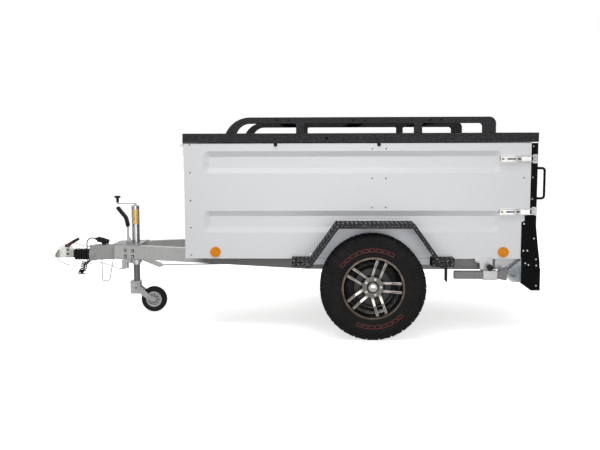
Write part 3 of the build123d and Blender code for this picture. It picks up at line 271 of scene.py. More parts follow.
def powder_coat(name, tone):
    """Coarse textured powder coat with painted glints on its high spots."""
    made, tree, where = patterned(name, tone, 0.5, Specular_IOR_Level=0.0)
    pebbles = cells(tree, where, 260.0, "SMOOTH_F1")["Distance"]
    fine = noise(tree, where, 520, 3)
    clouds = noise(tree, where, 4.0, 3)
    # The grain's high spots are painted up to 6.5 times brighter: painted glints.
    base = tones(tree, fine, tone, (0.36, 0.7), (0.52, 1), (0.68, 6.5))
    return connect(made, base, levels(tree, clouds, 0.36, 0.52),
                   worked(tree, "MULTIPLY_ADD", fine, 0.5, pebbles), 0.55, 0.0007)


def two_tone(name, tone, plate):
    """Powder coat, with a bare galvanised plate ahead of the guard's flange."""
    made = powder_coat(name, tone)
    tree = made.node_tree
    where = place_of(tree)
    axes = node(tree, "SeparateXYZ", where).outputs
    both = worked(tree, "MULTIPLY", worked(tree, "GREATER_THAN", axes["X"], GUARD_EDGE.x),
                  worked(tree, "LESS_THAN", axes["Z"], GUARD_EDGE.z))
    bare = tones(tree, noise(tree, where, 30, 4), plate, (0.35, 0.55), (0.65, 1.2))
    return connect(made, blended(tree, both, base_of(made), bare))


def zinc(name, tone, rough=(0.18, 0.34)):
    """Bright zinc plate with a faint yellow cloud and handling marks."""
    made, tree, where = patterned(name, tone, 0.25, 0.85)
    clouds = noise(tree, where, 22, 4)
    marks = noise(tree, place_of(tree, scale=(1, 1, 9)), 60, 2)
    warm = (tone[0], tone[1] * 0.985, tone[2] * 0.94)
    base = ramp(tree, clouds, (0.32, shade(warm, 0.90)), (0.55, tone), (0.75, shade(tone, 1.06)))
    return connect(made, base, levels(tree, marks, *rough), marks, 0.08, 0.0003)


def moulded(name, tone, rough=0.55, grain=700.0, strength=0.18, gloss=0.12):
    """Moulded rubber or plastic with a dusty bloom and fine grain."""
    made, tree, where = patterned(name, tone, rough, Specular_IOR_Level=gloss)
    bloom = noise(tree, where, 9, 4)
    base = tones(tree, bloom, tone, (0.35, 1), (0.72, 1.7))
    return connect(made, base, levels(tree, bloom, rough - 0.08, rough + 0.12),
                   noise(tree, where, grain, 2), strength, 0.0004)


def tread_metal(name, tone):
    """Dark plate whose lacquer is rubbed to pale metal in places."""
    made, tree, where = patterned(name, tone, 0.45, Specular_IOR_Level=0.0)
    scuffs = noise(tree, where, 75, 5)
    rubbed = tones(tree, scuffs, WHITE, (0.54, 0), (0.66, 1))
    lacquer = blended(tree, noise(tree, where, 7, 3), shade(tone, 0.6), shade(tone, 1.4))
    base = blended(tree, rubbed, lacquer, shade(tone, 3.2))
    return connect(made, base, levels(tree, scuffs, 0.32, 0.55), scuffs, 0.2, 0.0005)


def tyre_rubber(name, tone, side):
    """Tyre rubber: fine rings on the flank and a brownish bloom."""
    made, tree, where = patterned(name, tone, 0.7, Specular_IOR_Level=0.06)
    radius = from_axle(tree, middle_of("tyre_" + side))
    rings = worked(tree, "SINE", worked(tree, "MULTIPLY", radius, 2 * pi / RING_PITCH))
    height = worked(tree, "MULTIPLY_ADD", rings, 0.12, noise(tree, where, 380, 2))
    bloom = noise(tree, where, 14, 4)
    brown = (tone[0] * 2.2, tone[1] * 2.0, tone[2] * 1.9)
    base = ramp(tree, bloom, (0.34, shade(tone, 0.8)), (0.55, shade(tone, 1.25)), (0.78, brown))
    return connect(made, base, levels(tree, bloom, 0.58, 0.80), height, 0.35, 0.0006)


def turned_rim(name, dark, bright, bronze=(0.085, 0.068, 0.055)):
    """Dark rim: outward faces machined, with painted shade towards the hub and painted highlights
    brightest at the spokes' ends, and a bronze lip with a painted highlight on its outer edge.
    """
    made, tree, where = patterned(name, dark, 0.22, 0.9)
    radius = levels(tree, from_axle(tree, WHEEL_MIDDLE), 0, 1, RIM_SPAN)
    # Painted shade towards the hub, a painted highlight growing to the spokes' ends and another on
    # the lip's outer edge; between them the bronze lip's tone.
    painted_light_by_radius = ramp(tree, radius, (0.0, shade(bright, 0.30)), (0.14, shade(bright, 0.35)),
                     (0.24, bright), (0.78, shade(bright, 1.5)), (0.90, bronze),
                     (0.95, shade(bronze, 0.5)), (1.0, shade(bronze, 3.0)))
    normal = node(tree, "SeparateXYZ", node(tree, "NewGeometry").outputs["Normal"]).outputs
    outer_faces = tones(tree, worked(tree, "ABSOLUTE", normal["Y"]), WHITE, (0.55, 0), (0.92, 1))
    clouds = noise(tree, where, 26, 3)
    clouded = tones(tree, clouds, WHITE, (0.3, 0.6), (0.7, 1))
    metal = blended(tree, 1.0, painted_light_by_radius, clouded, "MULTIPLY")
    cuts = noise(tree, place_of(tree, scale=(1, 30, 1)), 90, 2)
    return connect(made, blended(tree, outer_faces, dark, metal),
                   levels(tree, clouds, 0.12, 0.30), cuts, 0.06, 0.0003)


def lens(name, tone):
    """Moulded reflector with a grid of prisms under a clear face."""
    made, tree, where = patterned(name, tone, 0.3, Specular_IOR_Level=0.12)
    prisms = cells(tree, where, 230.0)["Distance"]
    base = tones(tree, prisms, tone, (0.05, 1.2), (0.4, 1), (0.75, 0.35))
    return connect(made, base, None, prisms, 0.5, 0.0008)


def film_board(name, tone=(0.10, 0.062, 0.035)):
    """Brown film-faced board with a pressed wire mesh."""
    made, tree, where = patterned(name, tone, 0.4)
    mesh = node(tree, "TexBrick", Vector=where, Scale=90.0, offset=0.0).outputs["Fac"]
    clouds = noise(tree, where, 6, 4)
    base = blended(tree, clouds, shade(tone, 0.7), shade(tone, 1.5))
    return connect(made, base, levels(tree, clouds, 0.32, 0.5), mesh, 0.25, 0.0006)


def painted(name, tone, rough=0.35):
    """Paint with slight orange peel and rubbed patches."""
    made, tree, where = patterned(name, tone, rough, 0.1, Coat_Weight=0.2)
    rub = noise(tree, where, 45, 4)
    base = tones(tree, rub, tone, (0.3, 0.75), (0.6, 1), (0.8, 1.6))
    return connect(made, base, levels(tree, rub, rough - 0.08, rough + 0.15),
                   noise(tree, where, 260, 2), 0.12, 0.0004)


def wire_rope(name, tone=(0.030, 0.011, 0.009)):
    """Reddish clear sheath over a steel rope."""
    made, tree, where = patterned(name, tone, 0.6, Specular_IOR_Level=0.0)
    lay = noise(tree, where, 320, 2)
    base = tones(tree, lay, tone, (0.35, 0.55), (0.65, 1.5))
    return connect(made, base, None, lay, 0.3, 0.0006)


FINISHES = {}


def make_finishes(hues):
    """Every finish once, under a maker's name for it."""
    # The gate's and guards' black is the coat at a quarter of its brightness.
    darker_coat, tyre = shade(hues.coat, 0.25), shade(hues.rubber, 1.15)
    FINISHES.update(
        sheet=galvanised("galvanised sheet", hues.sheet, 0.1, (0.42, 0.5), 90.0, 0.02, 0.012, 0.2),
        # Near-white bluish sheet: the sills' tone, and painted light on the sheets laid in the
        # wheel arches.
        inner=galvanised("bright bluish sheet, painted light in the arches", (0.90, 0.93, 0.97), 0.0, mottle=0.015),
        # The chassis steel takes painted shade where it runs on under the box.
        beam=shaded_under_box(galvanised("galvanised beam", hues.beam, 0.35, (0.32, 0.50), 90.0, 0.16, 0.06)),
        cast=galvanised("zinc housing", (0.285, 0.285, 0.281), 0.25, (0.30, 0.45), 120.0, 0.10),
        bracket=galvanised("bright bracket", (0.45, 0.45, 0.46), 0.3, (0.25, 0.4), 120.0, 0.3,
                           0.06),
        # Rivet steel darkened as painted shade, the shadow ring round each rivet of the side
        # sheets.
        rivet=galvanised("rivet steel darkened as painted shade", (0.13, 0.13, 0.135), 0.4, (0.3, 0.45), 200.0, 0.1),
        wire=galvanised("plated wire", (0.035, 0.035, 0.036), 0.0, (0.5, 0.7), 300.0, gloss=0.0),
        tube=galvanised("worn zinc tube", (0.145, 0.145, 0.145), 0.3, (0.3, 0.5), 60.0, 0.4, 0.1),
        fork=galvanised("worn zinc fork", (0.37, 0.37, 0.37), 0.45, (0.25, 0.45), 60.0, 0.55,
                        0.12),
        drum=galvanised("brake casting", (0.022, 0.022, 0.024), 0.2, (0.45, 0.65), 150.0, 0.3),
        zinc=zinc("bright zinc", hues.zinc),
        latch=zinc("bright latch", (0.42, 0.42, 0.415), (0.25, 0.45)),
        head=zinc("white zinc head", (0.33, 0.33, 0.32), (0.22, 0.40)),
        chrome=zinc("bright hub metal", (0.34, 0.345, 0.35), (0.08, 0.18)),
        # Dark strips laid along the spokes: painted shade of their darker middles.
        groove=zinc("turned groove", (0.075, 0.068, 0.062), (0.2, 0.4)),
        coat=powder_coat("textured black coat", hues.coat),
        gate_coat=powder_coat("darker black gate coat", darker_coat),
        guard=two_tone("black guard on zinc plate", darker_coat, (0.27, 0.30, 0.33)),
        tread=tread_metal("dark tread plate", hues.tread),
        # The bars are the tread plate's finish 5.5 times as bright: a painted highlight on the
        # raised bars.
        bars=tread_metal("rubbed tread bars painted bright as highlight", shade(hues.tread, 5.5)),
        rubber=moulded("moulded rubber", hues.rubber, 0.6),
        plastic=moulded("black moulded plastic", (0.008, 0.008, 0.0085), 0.42, 500.0),
        grey_plastic=moulded("grey moulded plastic", (0.36, 0.36, 0.35), 0.5, 420.0),
        cable=moulded("cable sheath", (0.006, 0.006, 0.0065), 0.55, 900.0, 0.08, 0.0),
        # Near black: the colour of small black parts, and painted shade in the slots of the tow
        # head, latches and jockey wheel.
        recess=moulded("dark recess", (0.003, 0.003, 0.003), 0.7, gloss=0.0),
        tyre_left=tyre_rubber("left tyre rubber", tyre, "left"),
        tyre_right=tyre_rubber("right tyre rubber", tyre, "right"),
        rim=turned_rim("machined dark rim", hues.rim, hues.machined),
        amber=lens("amber reflector", hues.amber),
        lamp=lens("red lamp lens", hues.red),
        board=film_board("floor board"),
        lever=painted("dark red lever", hues.lever),
        yellow=painted("yellow jack plate", hues.yellow, 0.3),
        outline=painted("red outline", (0.30, 0.040, 0.022), 0.6),
        rope=wire_rope("sheathed wire rope"),
    )


# The CAD nodes that take each finish.
NODE_FINISHES = {
    "sheet": ("side_panel_left", "side_panel_right", "front_panel", "tailgate_sheet"),
    "inner": ("sills",),
    "beam": ("chassis_beams", "cross_members", "axle", "rear_bar", "prop_leg_left",
             "prop_leg_right", "brake_rod"),
    "fork": ("jockey_fork",),
    "tube": ("jockey_inner",),
    "latch": ("latch_levers",),
    "guard": ("light_guards",),
    "bracket": ("brackets", "prop_clamp_left", "prop_clamp_right"),
    "wire": ("safety_loop",),
    "cast": ("head_plates", "overrun_housing"),
    "drum": ("brake_drum_left", "brake_drum_right", "backing_plates"),
    "zinc": ("lid_hinges", "hinge_bases", "gate_fittings", "handbrake_lever", "jockey_tube"),
    "head": ("tow_head",),
    "chrome": ("hub_cap_left", "hub_cap_right"),
    "coat": ("lid_frame", "lid_sheet", "rack_rails", "crossbars"),
    "gate_coat": ("tailgate_frame",),
    "tread": ("fenders", "fender_lips", "steps"),
    "rubber": ("rim_seal", "bellows", "mud_flaps", "jockey_tyre"),
    "plastic": ("grips", "plug", "plug_holder"),
    "grey_plastic": ("jockey_wheel",),
    "cable": ("plug_cable", "plug_coil"),
    "tyre_left": ("tyre_left",),
    "tyre_right": ("tyre_right",),
    "rim": ("rim_left", "rim_right"),
    "amber": ("reflectors",),
    "lamp": ("rear_lamps",),
    "board": ("floor",),
    "lever": ("tow_lever",),
    "rope": ("breakaway_cable",),
}


# ---- modelling helpers ----

def object_mode():
    """Leaves edit mode."""
    if bpy.context.object and bpy.context.object.mode == "EDIT":
        bpy.ops.object.mode_set(mode="OBJECT")


def start(name, add, **where):
    """Adds a primitive with nothing else selected, and names it."""
    object_mode()
    bpy.ops.object.select_all(action="DESELECT")
    add(**where)
    piece = bpy.context.object
    piece.name = piece.data.name = name
    return piece


def disc(name, sides, radius, depth, lift=0.0):
    """A cylinder that stands on the origin, or this far above it."""
    return start(name, bpy.ops.mesh.primitive_cylinder_add, vertices=sides, radius=radius,
                 depth=depth, location=(0, 0, depth / 2 + lift))


def brick(name, scale, location):
    """A box with these sides, about this point."""
    return start(name, bpy.ops.mesh.primitive_cube_add, size=1, scale=scale, location=location)


def choose(piece, kind, test):
    """Selects, in edit mode, the faces or vertices that pass the test."""
    bpy.ops.object.mode_set(mode="EDIT")
    bpy.ops.mesh.select_mode(type=kind)
    bpy.ops.mesh.select_all(action="DESELECT")
    shape = bmesh.from_edit_mesh(piece.data)
    for part in shape.faces if kind == "FACE" else shape.verts:
        if test(part):
            part.select_set(True)
    if kind == "VERT":
        shape.select_flush(True)
    bmesh.update_edit_mesh(piece.data)


def pick(piece, test):
    """Selects the faces whose centre and normal pass the test."""
    choose(piece, "FACE", lambda face: test(face.calc_center_median(), face.normal))


def pick_top(piece):
    """Selects the faces that point up."""
    pick(piece, lambda middle, normal: normal.z > 0.9)


def pick_loose(piece, test):
    """Selects the vertices whose place passes the test."""
    choose(piece, "VERT", lambda vertex: test(vertex.co))


def extrude(by):
    """Draws what is selected out by this much."""
    bpy.ops.mesh.extrude_region_move(TRANSFORM_OT_translate={"value": by})


def move(by):
    """Moves what is selected."""
    bpy.ops.transform.translate(value=by)


def stepped(piece, rings):
    """Draws the top face up ring by ring, each a share of the last one's width and a rise."""
    pick_top(piece)
    for width, rise in rings:
        extrude((0, 0, rise))
        bpy.ops.transform.resize(value=(width, width, 1))
    return piece


def soften(piece, width, segments=1):
    """Bevels every edge of a piece."""
    bpy.ops.object.mode_set(mode="EDIT")
    bpy.ops.mesh.select_mode(type="EDGE")
    bpy.ops.mesh.select_all(action="SELECT")
    bpy.ops.mesh.bevel(offset=width, segments=segments, affect="EDGES", clamp_overlap=True)
    return piece


def outward():
    """Merges doubles and turns every face outwards."""
    bpy.ops.mesh.select_all(action="SELECT")
    bpy.ops.mesh.remove_doubles(threshold=1e-5)
    bpy.ops.mesh.normals_make_consistent(inside=False)


def chain(name, points):
    """Draws a line through the points, one extruded vertex after another."""
    points = [Vector(point) for point in points]
    piece = start(name, bpy.ops.mesh.primitive_plane_add, size=0.01, location=points[0])
    bpy.ops.object.mode_set(mode="EDIT")
    bpy.ops.mesh.select_mode(type="VERT")
    bpy.ops.mesh.select_all(action="SELECT")
    bpy.ops.mesh.merge(type="CENTER")
    for here, there in zip(points, points[1:]):
        bpy.ops.mesh.extrude_vertices_move(TRANSFORM_OT_translate={"value": there - here})
    bpy.ops.mesh.select_all(action="SELECT")
    return piece


def slab(name, points, by):
    """A plate: a face drawn through the points and extruded."""
    piece = chain(name, points)
    bpy.ops.mesh.edge_face_add()
    extrude(Vector(by))
    outward()
    return piece


def turned(name, points, steps, axis=(0, 0, 1)):
    """A turned piece: the line through the points, spun about an axis through the origin."""
    piece = chain(name, points)
    bpy.ops.mesh.spin(steps=steps, angle=2 * pi, center=(0, 0, 0), axis=axis)
    outward()
    return piece


def settle(piece):
    """Leaves edit mode and puts the piece's place into its mesh."""
    object_mode()
    bpy.ops.object.select_all(action="DESELECT")
    piece.select_set(True)
    bpy.context.view_layer.objects.active = piece
    bpy.ops.object.transform_apply(location=True, rotation=True, scale=True)


def merged(name, pieces):
    """Makes one piece of settled ones."""
    bpy.ops.object.select_all(action="DESELECT")
    for piece in pieces:
        piece.select_set(True)
    bpy.context.view_layer.objects.active = pieces[0]
    if len(pieces) > 1:
        bpy.ops.object.join()
    pieces[0].name = pieces[0].data.name = name
    return pieces[0]


def join(name, pieces):
    """Settles pieces and makes one of them."""
    for piece in pieces:
        settle(piece)
    return merged(name, pieces)


def complete(piece, look, body, angle=35):
    """Settles, shades and finishes a piece, and sets it riding on its body."""
    settle(piece)
    bpy.ops.object.shade_smooth_by_angle(angle=radians(angle))
    piece.data.materials.clear()
    piece.data.materials.append(FINISHES[look])
    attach(piece, body)
    return piece


def copies_of(model, name, places):
    """A copy of the model, with its own mesh, at each placement."""
    settle(model)
    copies = []
    for place in places:
        copy = bpy.data.objects.new(name, model.data.copy())
        copy.data.transform(place)
        bpy.context.scene.collection.objects.link(copy)
        copies.append(copy)
    return copies


def spread(model, places, name, look, body, angle=35):
    """One finished piece of the model's copies at these placements."""
    return complete(merged(name, copies_of(model, name, places)), look, body, angle)


def discard(*models):
    """Deletes models whose copies are made."""
    for model in models:
        bpy.data.meshes.remove(model.data)


def basis_of(*axes):
    """The turn that carries X, Y and Z to these directions."""
    return Matrix(axes).transposed().to_4x4()


def seat(point, towards):
    """Placement of a model that was built on the origin, with its +Z turned this way."""
    towards = Vector(towards).normalized()
    side = Vector((0, 0, 1)).cross(towards)
    if side.length < 1e-4:
        side = Vector((1, 0, 0))
    side.normalize()
    return Matrix.Translation(point) @ basis_of(side, towards.cross(side), towards)


def on_flanks(places, y):
    """Placements facing outwards on both sides, at these stations and heights."""
    return [seat(at(x, y * side, z), (0, side, 0)) for side in (1, -1) for x, z in places]


# ---- stage and camera ----

CAMERA_AT = Vector((-0.2859, 5.7678, 1.2748))
CAMERA_YAW, CAMERA_DIP, CAMERA_ROLL = radians(181.717), radians(6.044), -0.003
LAMPS_AIM = Vector((-0.4, 0.0, 0.6))
LAMPS = (("Top softbox", (0.1, 2.6, 4.6), (3.6, 1.6), 82),      # place, sides and watts
         ("Front softbox", (-0.4, 6.5, 1.9), (5.0, 2.0), 104),
         ("Low softbox", (-0.8, 5.0, 0.35), (3.6, 0.6), 42),
         ("Back softbox", (-0.4, -5.0, 3.6), (4.5, 2.0), 110))
# What the camera and reflections see is white. Other light meets a dull floor and a soft sky.
FLOOR_GLOW, FLOOR_DULL, WORLD_SOFT = 0.62, 0.34, 0.48


def seen_by(tree, *rays):
    """1 for these kinds of ray, which see the backdrop itself, and 0 for others."""
    kinds = node(tree, "LightPath").outputs
    found = kinds[rays[0]]
    for ray in rays[1:]:
        found = worked(tree, "MAXIMUM", found, kinds[ray])
    return found


class TRAILER_OT_stage(bpy.types.Operator):
    """Floor, white surroundings, soft lamps and the camera"""
    bl_idname = "trailer.stage"
    bl_label = "Stage"

    def execute(self, context):
        settings = context.scene.trailer_sizes
        self.floor(settings.floor, context.scene.trailer_colours.floor)
        self.surroundings(context.scene)
        for lamp in LAMPS:
            self.lamp(context.scene, *lamp)
        data = bpy.data.cameras.new("Camera")
        data.lens, data.sensor_width = settings.lens, 36
        camera = bpy.data.objects.new("Camera", data)
        camera.location = CAMERA_AT
        camera.rotation_euler = (Matrix.Rotation(CAMERA_YAW, 3, "Z")
                                 @ Matrix.Rotation(pi / 2 - CAMERA_DIP, 3, "X")
                                 @ Matrix.Rotation(CAMERA_ROLL, 3, "Z")).to_euler()
        context.scene.collection.objects.link(camera)
        context.scene.camera = camera
        return {"FINISHED"}

    def floor(self, side, tone):
        piece = start("Floor", bpy.ops.mesh.primitive_plane_add, size=side)
        made = finish("pale floor", tone, 0.9)
        tree = made.node_tree
        shader = tree.nodes["Principled BSDF"].outputs[0]
        glow = node(tree, "Emission", Strength=FLOOR_GLOW).outputs[0]
        lit = node(tree, "AddShader", shader, glow).outputs[0]
        dull = node(tree, "BsdfDiffuse", shade(WHITE, FLOOR_DULL)).outputs[0]
        straight = seen_by(tree, "Is Camera Ray", "Is Glossy Ray")
        choice = node(tree, "MixShader", straight, dull, lit).outputs[0]
        tree.links.new(choice, tree.nodes["Material Output"].inputs["Surface"])
        piece.data.materials.append(made)

    def surroundings(self, scene):
        world = scene.world or bpy.data.worlds.new("World")
        scene.world = world
        world.use_nodes = True
        tree = world.node_tree
        tree.nodes.clear()
        soft = node(tree, "Background", WHITE, WORLD_SOFT).outputs[0]
        white = node(tree, "Background", WHITE, 1.0).outputs[0]
        straight = seen_by(tree, "Is Camera Ray", "Is Glossy Ray", "Is Transmission Ray")
        node(tree, "OutputWorld", node(tree, "MixShader", straight, soft, white).outputs[0])
        scene.view_settings.view_transform = "Standard"

    def lamp(self, scene, name, place, sides, watts):
        data = bpy.data.lights.new(name, "AREA")
        data.shape, data.size, data.size_y, data.energy = "RECTANGLE", *sides, watts
        lamp = bpy.data.objects.new(name, data)
        lamp.location = place
        lamp.rotation_euler = (LAMPS_AIM - Vector(place)).to_track_quat("-Z", "Y").to_euler()
        scene.collection.objects.link(lamp)


# ---- cords ----

# Routes as (station, y, height).
GLAND_MOUTH = (-0.8527, 0.030, 0.3863)
LOWER_LEAD = (GLAND_MOUTH, (-0.868, 0.030, 0.37345), (-0.884, 0.0303, 0.3605),
              (-0.8968, 0.0305, 0.3442), (-0.905, 0.031, 0.326))
COIL = ((-0.905, 0.031, 0.326), (-0.923, 0.032, 0.286), (-0.929, -0.032, 0.284),
        (-0.918, -0.036, 0.334), (-0.907, -0.037, 0.378))
UPPER_LEAD = ((-0.907, -0.037, 0.378), (-0.9012, -0.0375, 0.4013), (-0.895, -0.054, 0.427),
              (-0.889, -0.057, 0.456), (-0.885, -0.049, 0.486), (-0.881, -0.033, 0.514),
              (-0.872, -0.014, 0.540), (-0.853, -0.004, 0.559), (-0.8293, 0.0, 0.5666),
              (-0.806, 0.0, 0.561))
BREAKAWAY = ((-0.606, 0.0, 0.330), (-0.638, 0.0, 0.330), (-0.680, 0.010, 0.352),
             (-0.722, 0.016, 0.369), (-0.765, 0.008, 0.375), (-0.812, -0.014, 0.371),
             (-0.858, -0.044, 0.363), (-0.905, -0.074, 0.351), (-0.950, -0.066, 0.345),
             (-0.990, -0.030, 0.349), (-1.022, 0.014, 0.361), (-1.052, 0.048, 0.384),
             (-1.078, 0.062, 0.415), (-1.087, 0.062, 0.450), (-1.076, 0.057, 0.484),
             (-1.050, 0.045, 0.508), (-1.016, 0.030, 0.522), (-0.975, 0.024, 0.530),
             (-0.932, 0.022, 0.524), (-0.888, 0.014, 0.503), (-0.842, 0.014, 0.503))
CURL_START = (3 * pi / 8, 9 * pi / 8)           # where each strand's winding meets its lead
LEAD_IN = 0.024                                 # straight stretch before and after each winding
CURL_STEPS = 14                                 # points in a turn
CURL_LEVEL = 0.62                               # how level a run may be before it isn't wound


def route(points):
    """A route's points in the trailer's frame."""
    return [at(*point) for point in points]


def cord_curve(name, points, diameter):
    """A smooth cord of one open spline, with the points as its control points."""
    data = bpy.data.curves.new(name, "CURVE")
    data.dimensions = "3D"
    data.resolution_u = 6
    data.bevel_depth = diameter / 2
    data.bevel_resolution = 3
    data.use_fill_caps = True
    spline = data.splines.new("NURBS")
    spline.points.add(len(points) - 1)
    for place, point in zip(spline.points, points):
        place.co = (*point, 1)
    spline.order_u = 3
    spline.use_endpoint_u = True
    cord = bpy.data.objects.new(name, data)
    bpy.context.scene.collection.objects.link(cord)
    return cord


def centreline(points):
    """The points that a cord of this route follows."""
    bare = cord_curve("bare line", points, 0)
    bare.data.resolution_u = 24
    bpy.context.view_layer.update()
    mesh = bpy.data.meshes.new_from_object(bare)
    line = [vertex.co.copy() for vertex in mesh.vertices]
    bpy.data.meshes.remove(mesh)
    bpy.data.curves.remove(bare.data)
    return line


def run_length(line):
    """Length along a line of points."""
    return sum((b - a).length for a, b in zip(line, line[1:]))


def helix(line, radius, pitch, start_angle):
    """Turns of this pitch wound round a line."""
    total = run_length(line)
    count = ceil(total / pitch * CURL_STEPS)
    turn_side = (line[1] - line[0]).normalized().orthogonal().normalized()
    points, walked, index = [], 0.0, 0
    for step in range(count + 1):
        goal = min(total * step / count, total - 1e-6)
        while walked + (line[index + 1] - line[index]).length < goal:
            walked += (line[index + 1] - line[index]).length
            index += 1
        run = line[index + 1] - line[index]
        along = run.normalized()
        middle = line[index] + along * (goal - walked)
        turn_side = (turn_side - along * turn_side.dot(along)).normalized()
        angle = start_angle + 2 * pi * step / CURL_STEPS
        points.append(middle + radius * (cos(angle) * turn_side
                                         + sin(angle) * along.cross(turn_side)))
    return points


def beyond(points):
    """A point straight on from the end of a run of points."""
    return points[-1] + (points[-1] - points[-2]).normalized() * LEAD_IN


class TRAILER_OT_plug_cable(bpy.types.Operator):
    """The curly cable from the housing's gland to the parked plug"""
    bl_idname = "trailer.plug_cable"
    bl_label = "Plug cable"

    def execute(self, context):
        settings = context.scene.trailer_sizes
        thick = settings.cable
        line, reach = centreline(route(COIL)), (settings.curl - thick) / 2
        steep = [abs((b - a).normalized().y) < CURL_LEVEL for a, b in zip(line, line[1:])]
        turn_from, turn_to = steep.index(False), len(steep) - steep[::-1].index(False)
        down = helix(line[:turn_from], reach, settings.curl_pitch, CURL_START[0])
        up = helix(line[turn_to:], reach, settings.curl_pitch, CURL_START[1])
        points = (route(LOWER_LEAD)[:-3] + [beyond(down[::-1])] + down + [beyond(down)]
                  + [beyond(up[::-1])] + up + [beyond(up)] + route(UPPER_LEAD)[2:])
        cable = cord_curve("curly_cable", points, thick)
        cable.data.materials.append(FINISHES["cable"])
        length = run_length(centreline(points))
        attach(cable, "chassis")
        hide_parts("plug_cable", "plug_coil")
        return {"FINISHED"}


class TRAILER_OT_breakaway_cable(bpy.types.Operator):
    """The sheathed wire rope from the jockey clamp round the tow head to the housing"""
    bl_idname = "trailer.breakaway_cable"
    bl_label = "Breakaway cable"

    def execute(self, context):
        thick = context.scene.trailer_sizes.wire
        cable = cord_curve("breakaway_rope", route(BREAKAWAY), thick)
        cable.data.materials.append(FINISHES["rope"])
        length = run_length(centreline(route(BREAKAWAY)))
        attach(cable, "chassis")
        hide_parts("breakaway_cable")
        return {"FINISHED"}


class TRAILER_OT_finishes(bpy.types.Operator):
    """Finishes of the trailer's own plates, beams, wheels and fittings"""
    bl_idname = "trailer.finishes"
    bl_label = "Finishes"

    def execute(self, context):
        for look, names in NODE_FINISHES.items():
            for name in names:
                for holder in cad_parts[name].material_slots:
                    holder.material = FINISHES[look]
        return {"FINISHED"}


# ---- small hardware ----

# Y of the faces that carry them, then places as (station, height).
LID_FLANK, GUARD_FLANK, RAIL_FLANK, GATE_FLANK, KNOB_OUT = 0.655, 0.654, 0.640, 0.645, 0.6905
SHEET_RIVETS = ([(0.041, z) for z in (1.269, 1.083, 0.897, 0.715, 0.530)]
                + [(x, z) for x in (1.253, 1.344) for z in (1.239, 1.044, 0.850)]
                + [(2.251, 1.046)])
GATE_RIVETS = [(2.310, z) for z in (1.252, 1.048, 0.905, 0.720, 0.600)]
GUARD_BOLTS = ((2.258, 0.741), (2.326, 0.643), (2.258, 0.561), (2.285, 0.561), (2.343, 0.503),
               (2.346, 0.462), (2.348, 0.326), (2.274, 0.477), (2.295, 0.466))
RAIL_BOLTS = [(x, 1.427) for x in (0.624, 0.703, 1.126, 1.203, 1.630, 1.704)]
BEAM_BOLTS = [(x, z) for x in (-0.541, -0.481) for z in (0.489, 0.446)]
LID_BUFFERS, LID_PLUG, KNOB = ((0.613, 1.2665), (1.296, 1.2665)), (0.950, 1.308), (2.030, 0.456)
# Rivets, and bolts on round collars, in shares of the radius. A rivet's rings are given as (share
# of the last one's width, rise). SMALL_BOLT is the size of the rack's and guards' bolts beside the
# drawbar's.
RIVET_DEEP, RIVET_RINGS = 0.3, ((0.72, 0.30), (0.45, 0.08), (0.8, -0.35))
BOLT_DEEP, BOLT_LIFT, BOLT_CHAMFER, BOLT_COLLAR, SMALL_BOLT = 0.7, 0.15, 0.14, (1.35, 0.16), 0.55
WASHER_WIDE, WASHER_DEEP = 1.75, 0.0012         # share of a bolt's radius, and metres
# Discs as (sides, radius, depth), and the rings drawn up from them, with rises in metres.
BUFFER, PLUG, CAP = (24, 0.0125, 0.004), (20, 0.0085, 0.002), (16, 0.0205, 0.0265)
BUFFER_RINGS = ((0.86, 0.0), (0.92, 0.010), (0.75, 0.0025), (0.5, 0.0), (0.8, -0.002))
PLUG_RINGS = ((0.8, 0.002), (0.5, 0.0006))
CAP_RIM, CAP_SUNK, CAP_FLUTE = 0.006, 0.0015, 0.93
# A drawbar beam's middle line, as (station, y), and its width.
BEAM_NOSE, BEAM_BEND, BEAM_WIDE = Vector((-0.612, 0.088)), Vector((0.830, 0.570)), 0.060


def rivet_head(radius):
    """A domed blind rivet with its mandrel's hole."""
    head = disc("rivet", 12, radius, radius * RIVET_DEEP)
    return stepped(head, [(width, radius * rise) for width, rise in RIVET_RINGS])


def bolt_head(radius):
    """A hexagon head on a round collar."""
    wide, deep = BOLT_COLLAR
    collar = disc("bolt", 18, radius * wide, radius * deep)
    hexagon = disc("hexagon", 6, radius, radius * BOLT_DEEP, radius * BOLT_LIFT)
    pick_top(hexagon)
    bpy.ops.mesh.bevel(offset=radius * BOLT_CHAMFER, segments=1, affect="EDGES")
    return join("bolt", [collar, hexagon])


def beam_flank(station):
    """A drawbar beam's outer face here: its Y, and the way it faces."""
    run = BEAM_BEND - BEAM_NOSE
    slope = run.y / run.x
    outward_way = Vector((run.y, run.x, 0)).normalized()
    y = BEAM_NOSE.y + slope * (station - BEAM_NOSE.x) + BEAM_WIDE / 2 * run.length / run.x
    return y, outward_way


class TRAILER_OT_rivets(bpy.types.Operator):
    """Blind rivets in the side sheets and the tailgate's edges; the side sheets' ones are painted
    dark as shade
    """
    bl_idname = "trailer.rivets"
    bl_label = "Rivets"

    def execute(self, context):
        head = rivet_head(context.scene.trailer_sizes.rivet)
        # The side sheets' rivets take the dark finish, painted shade for their shadow rings.
        spread(head, on_flanks(SHEET_RIVETS, FLANK), "sheet_rivets", "rivet", "chassis", 50)
        spread(head, on_flanks(GATE_RIVETS, GATE_FLANK), "gate_rivets", "zinc", "tailgate", 50)
        discard(head)
        return {"FINISHED"}


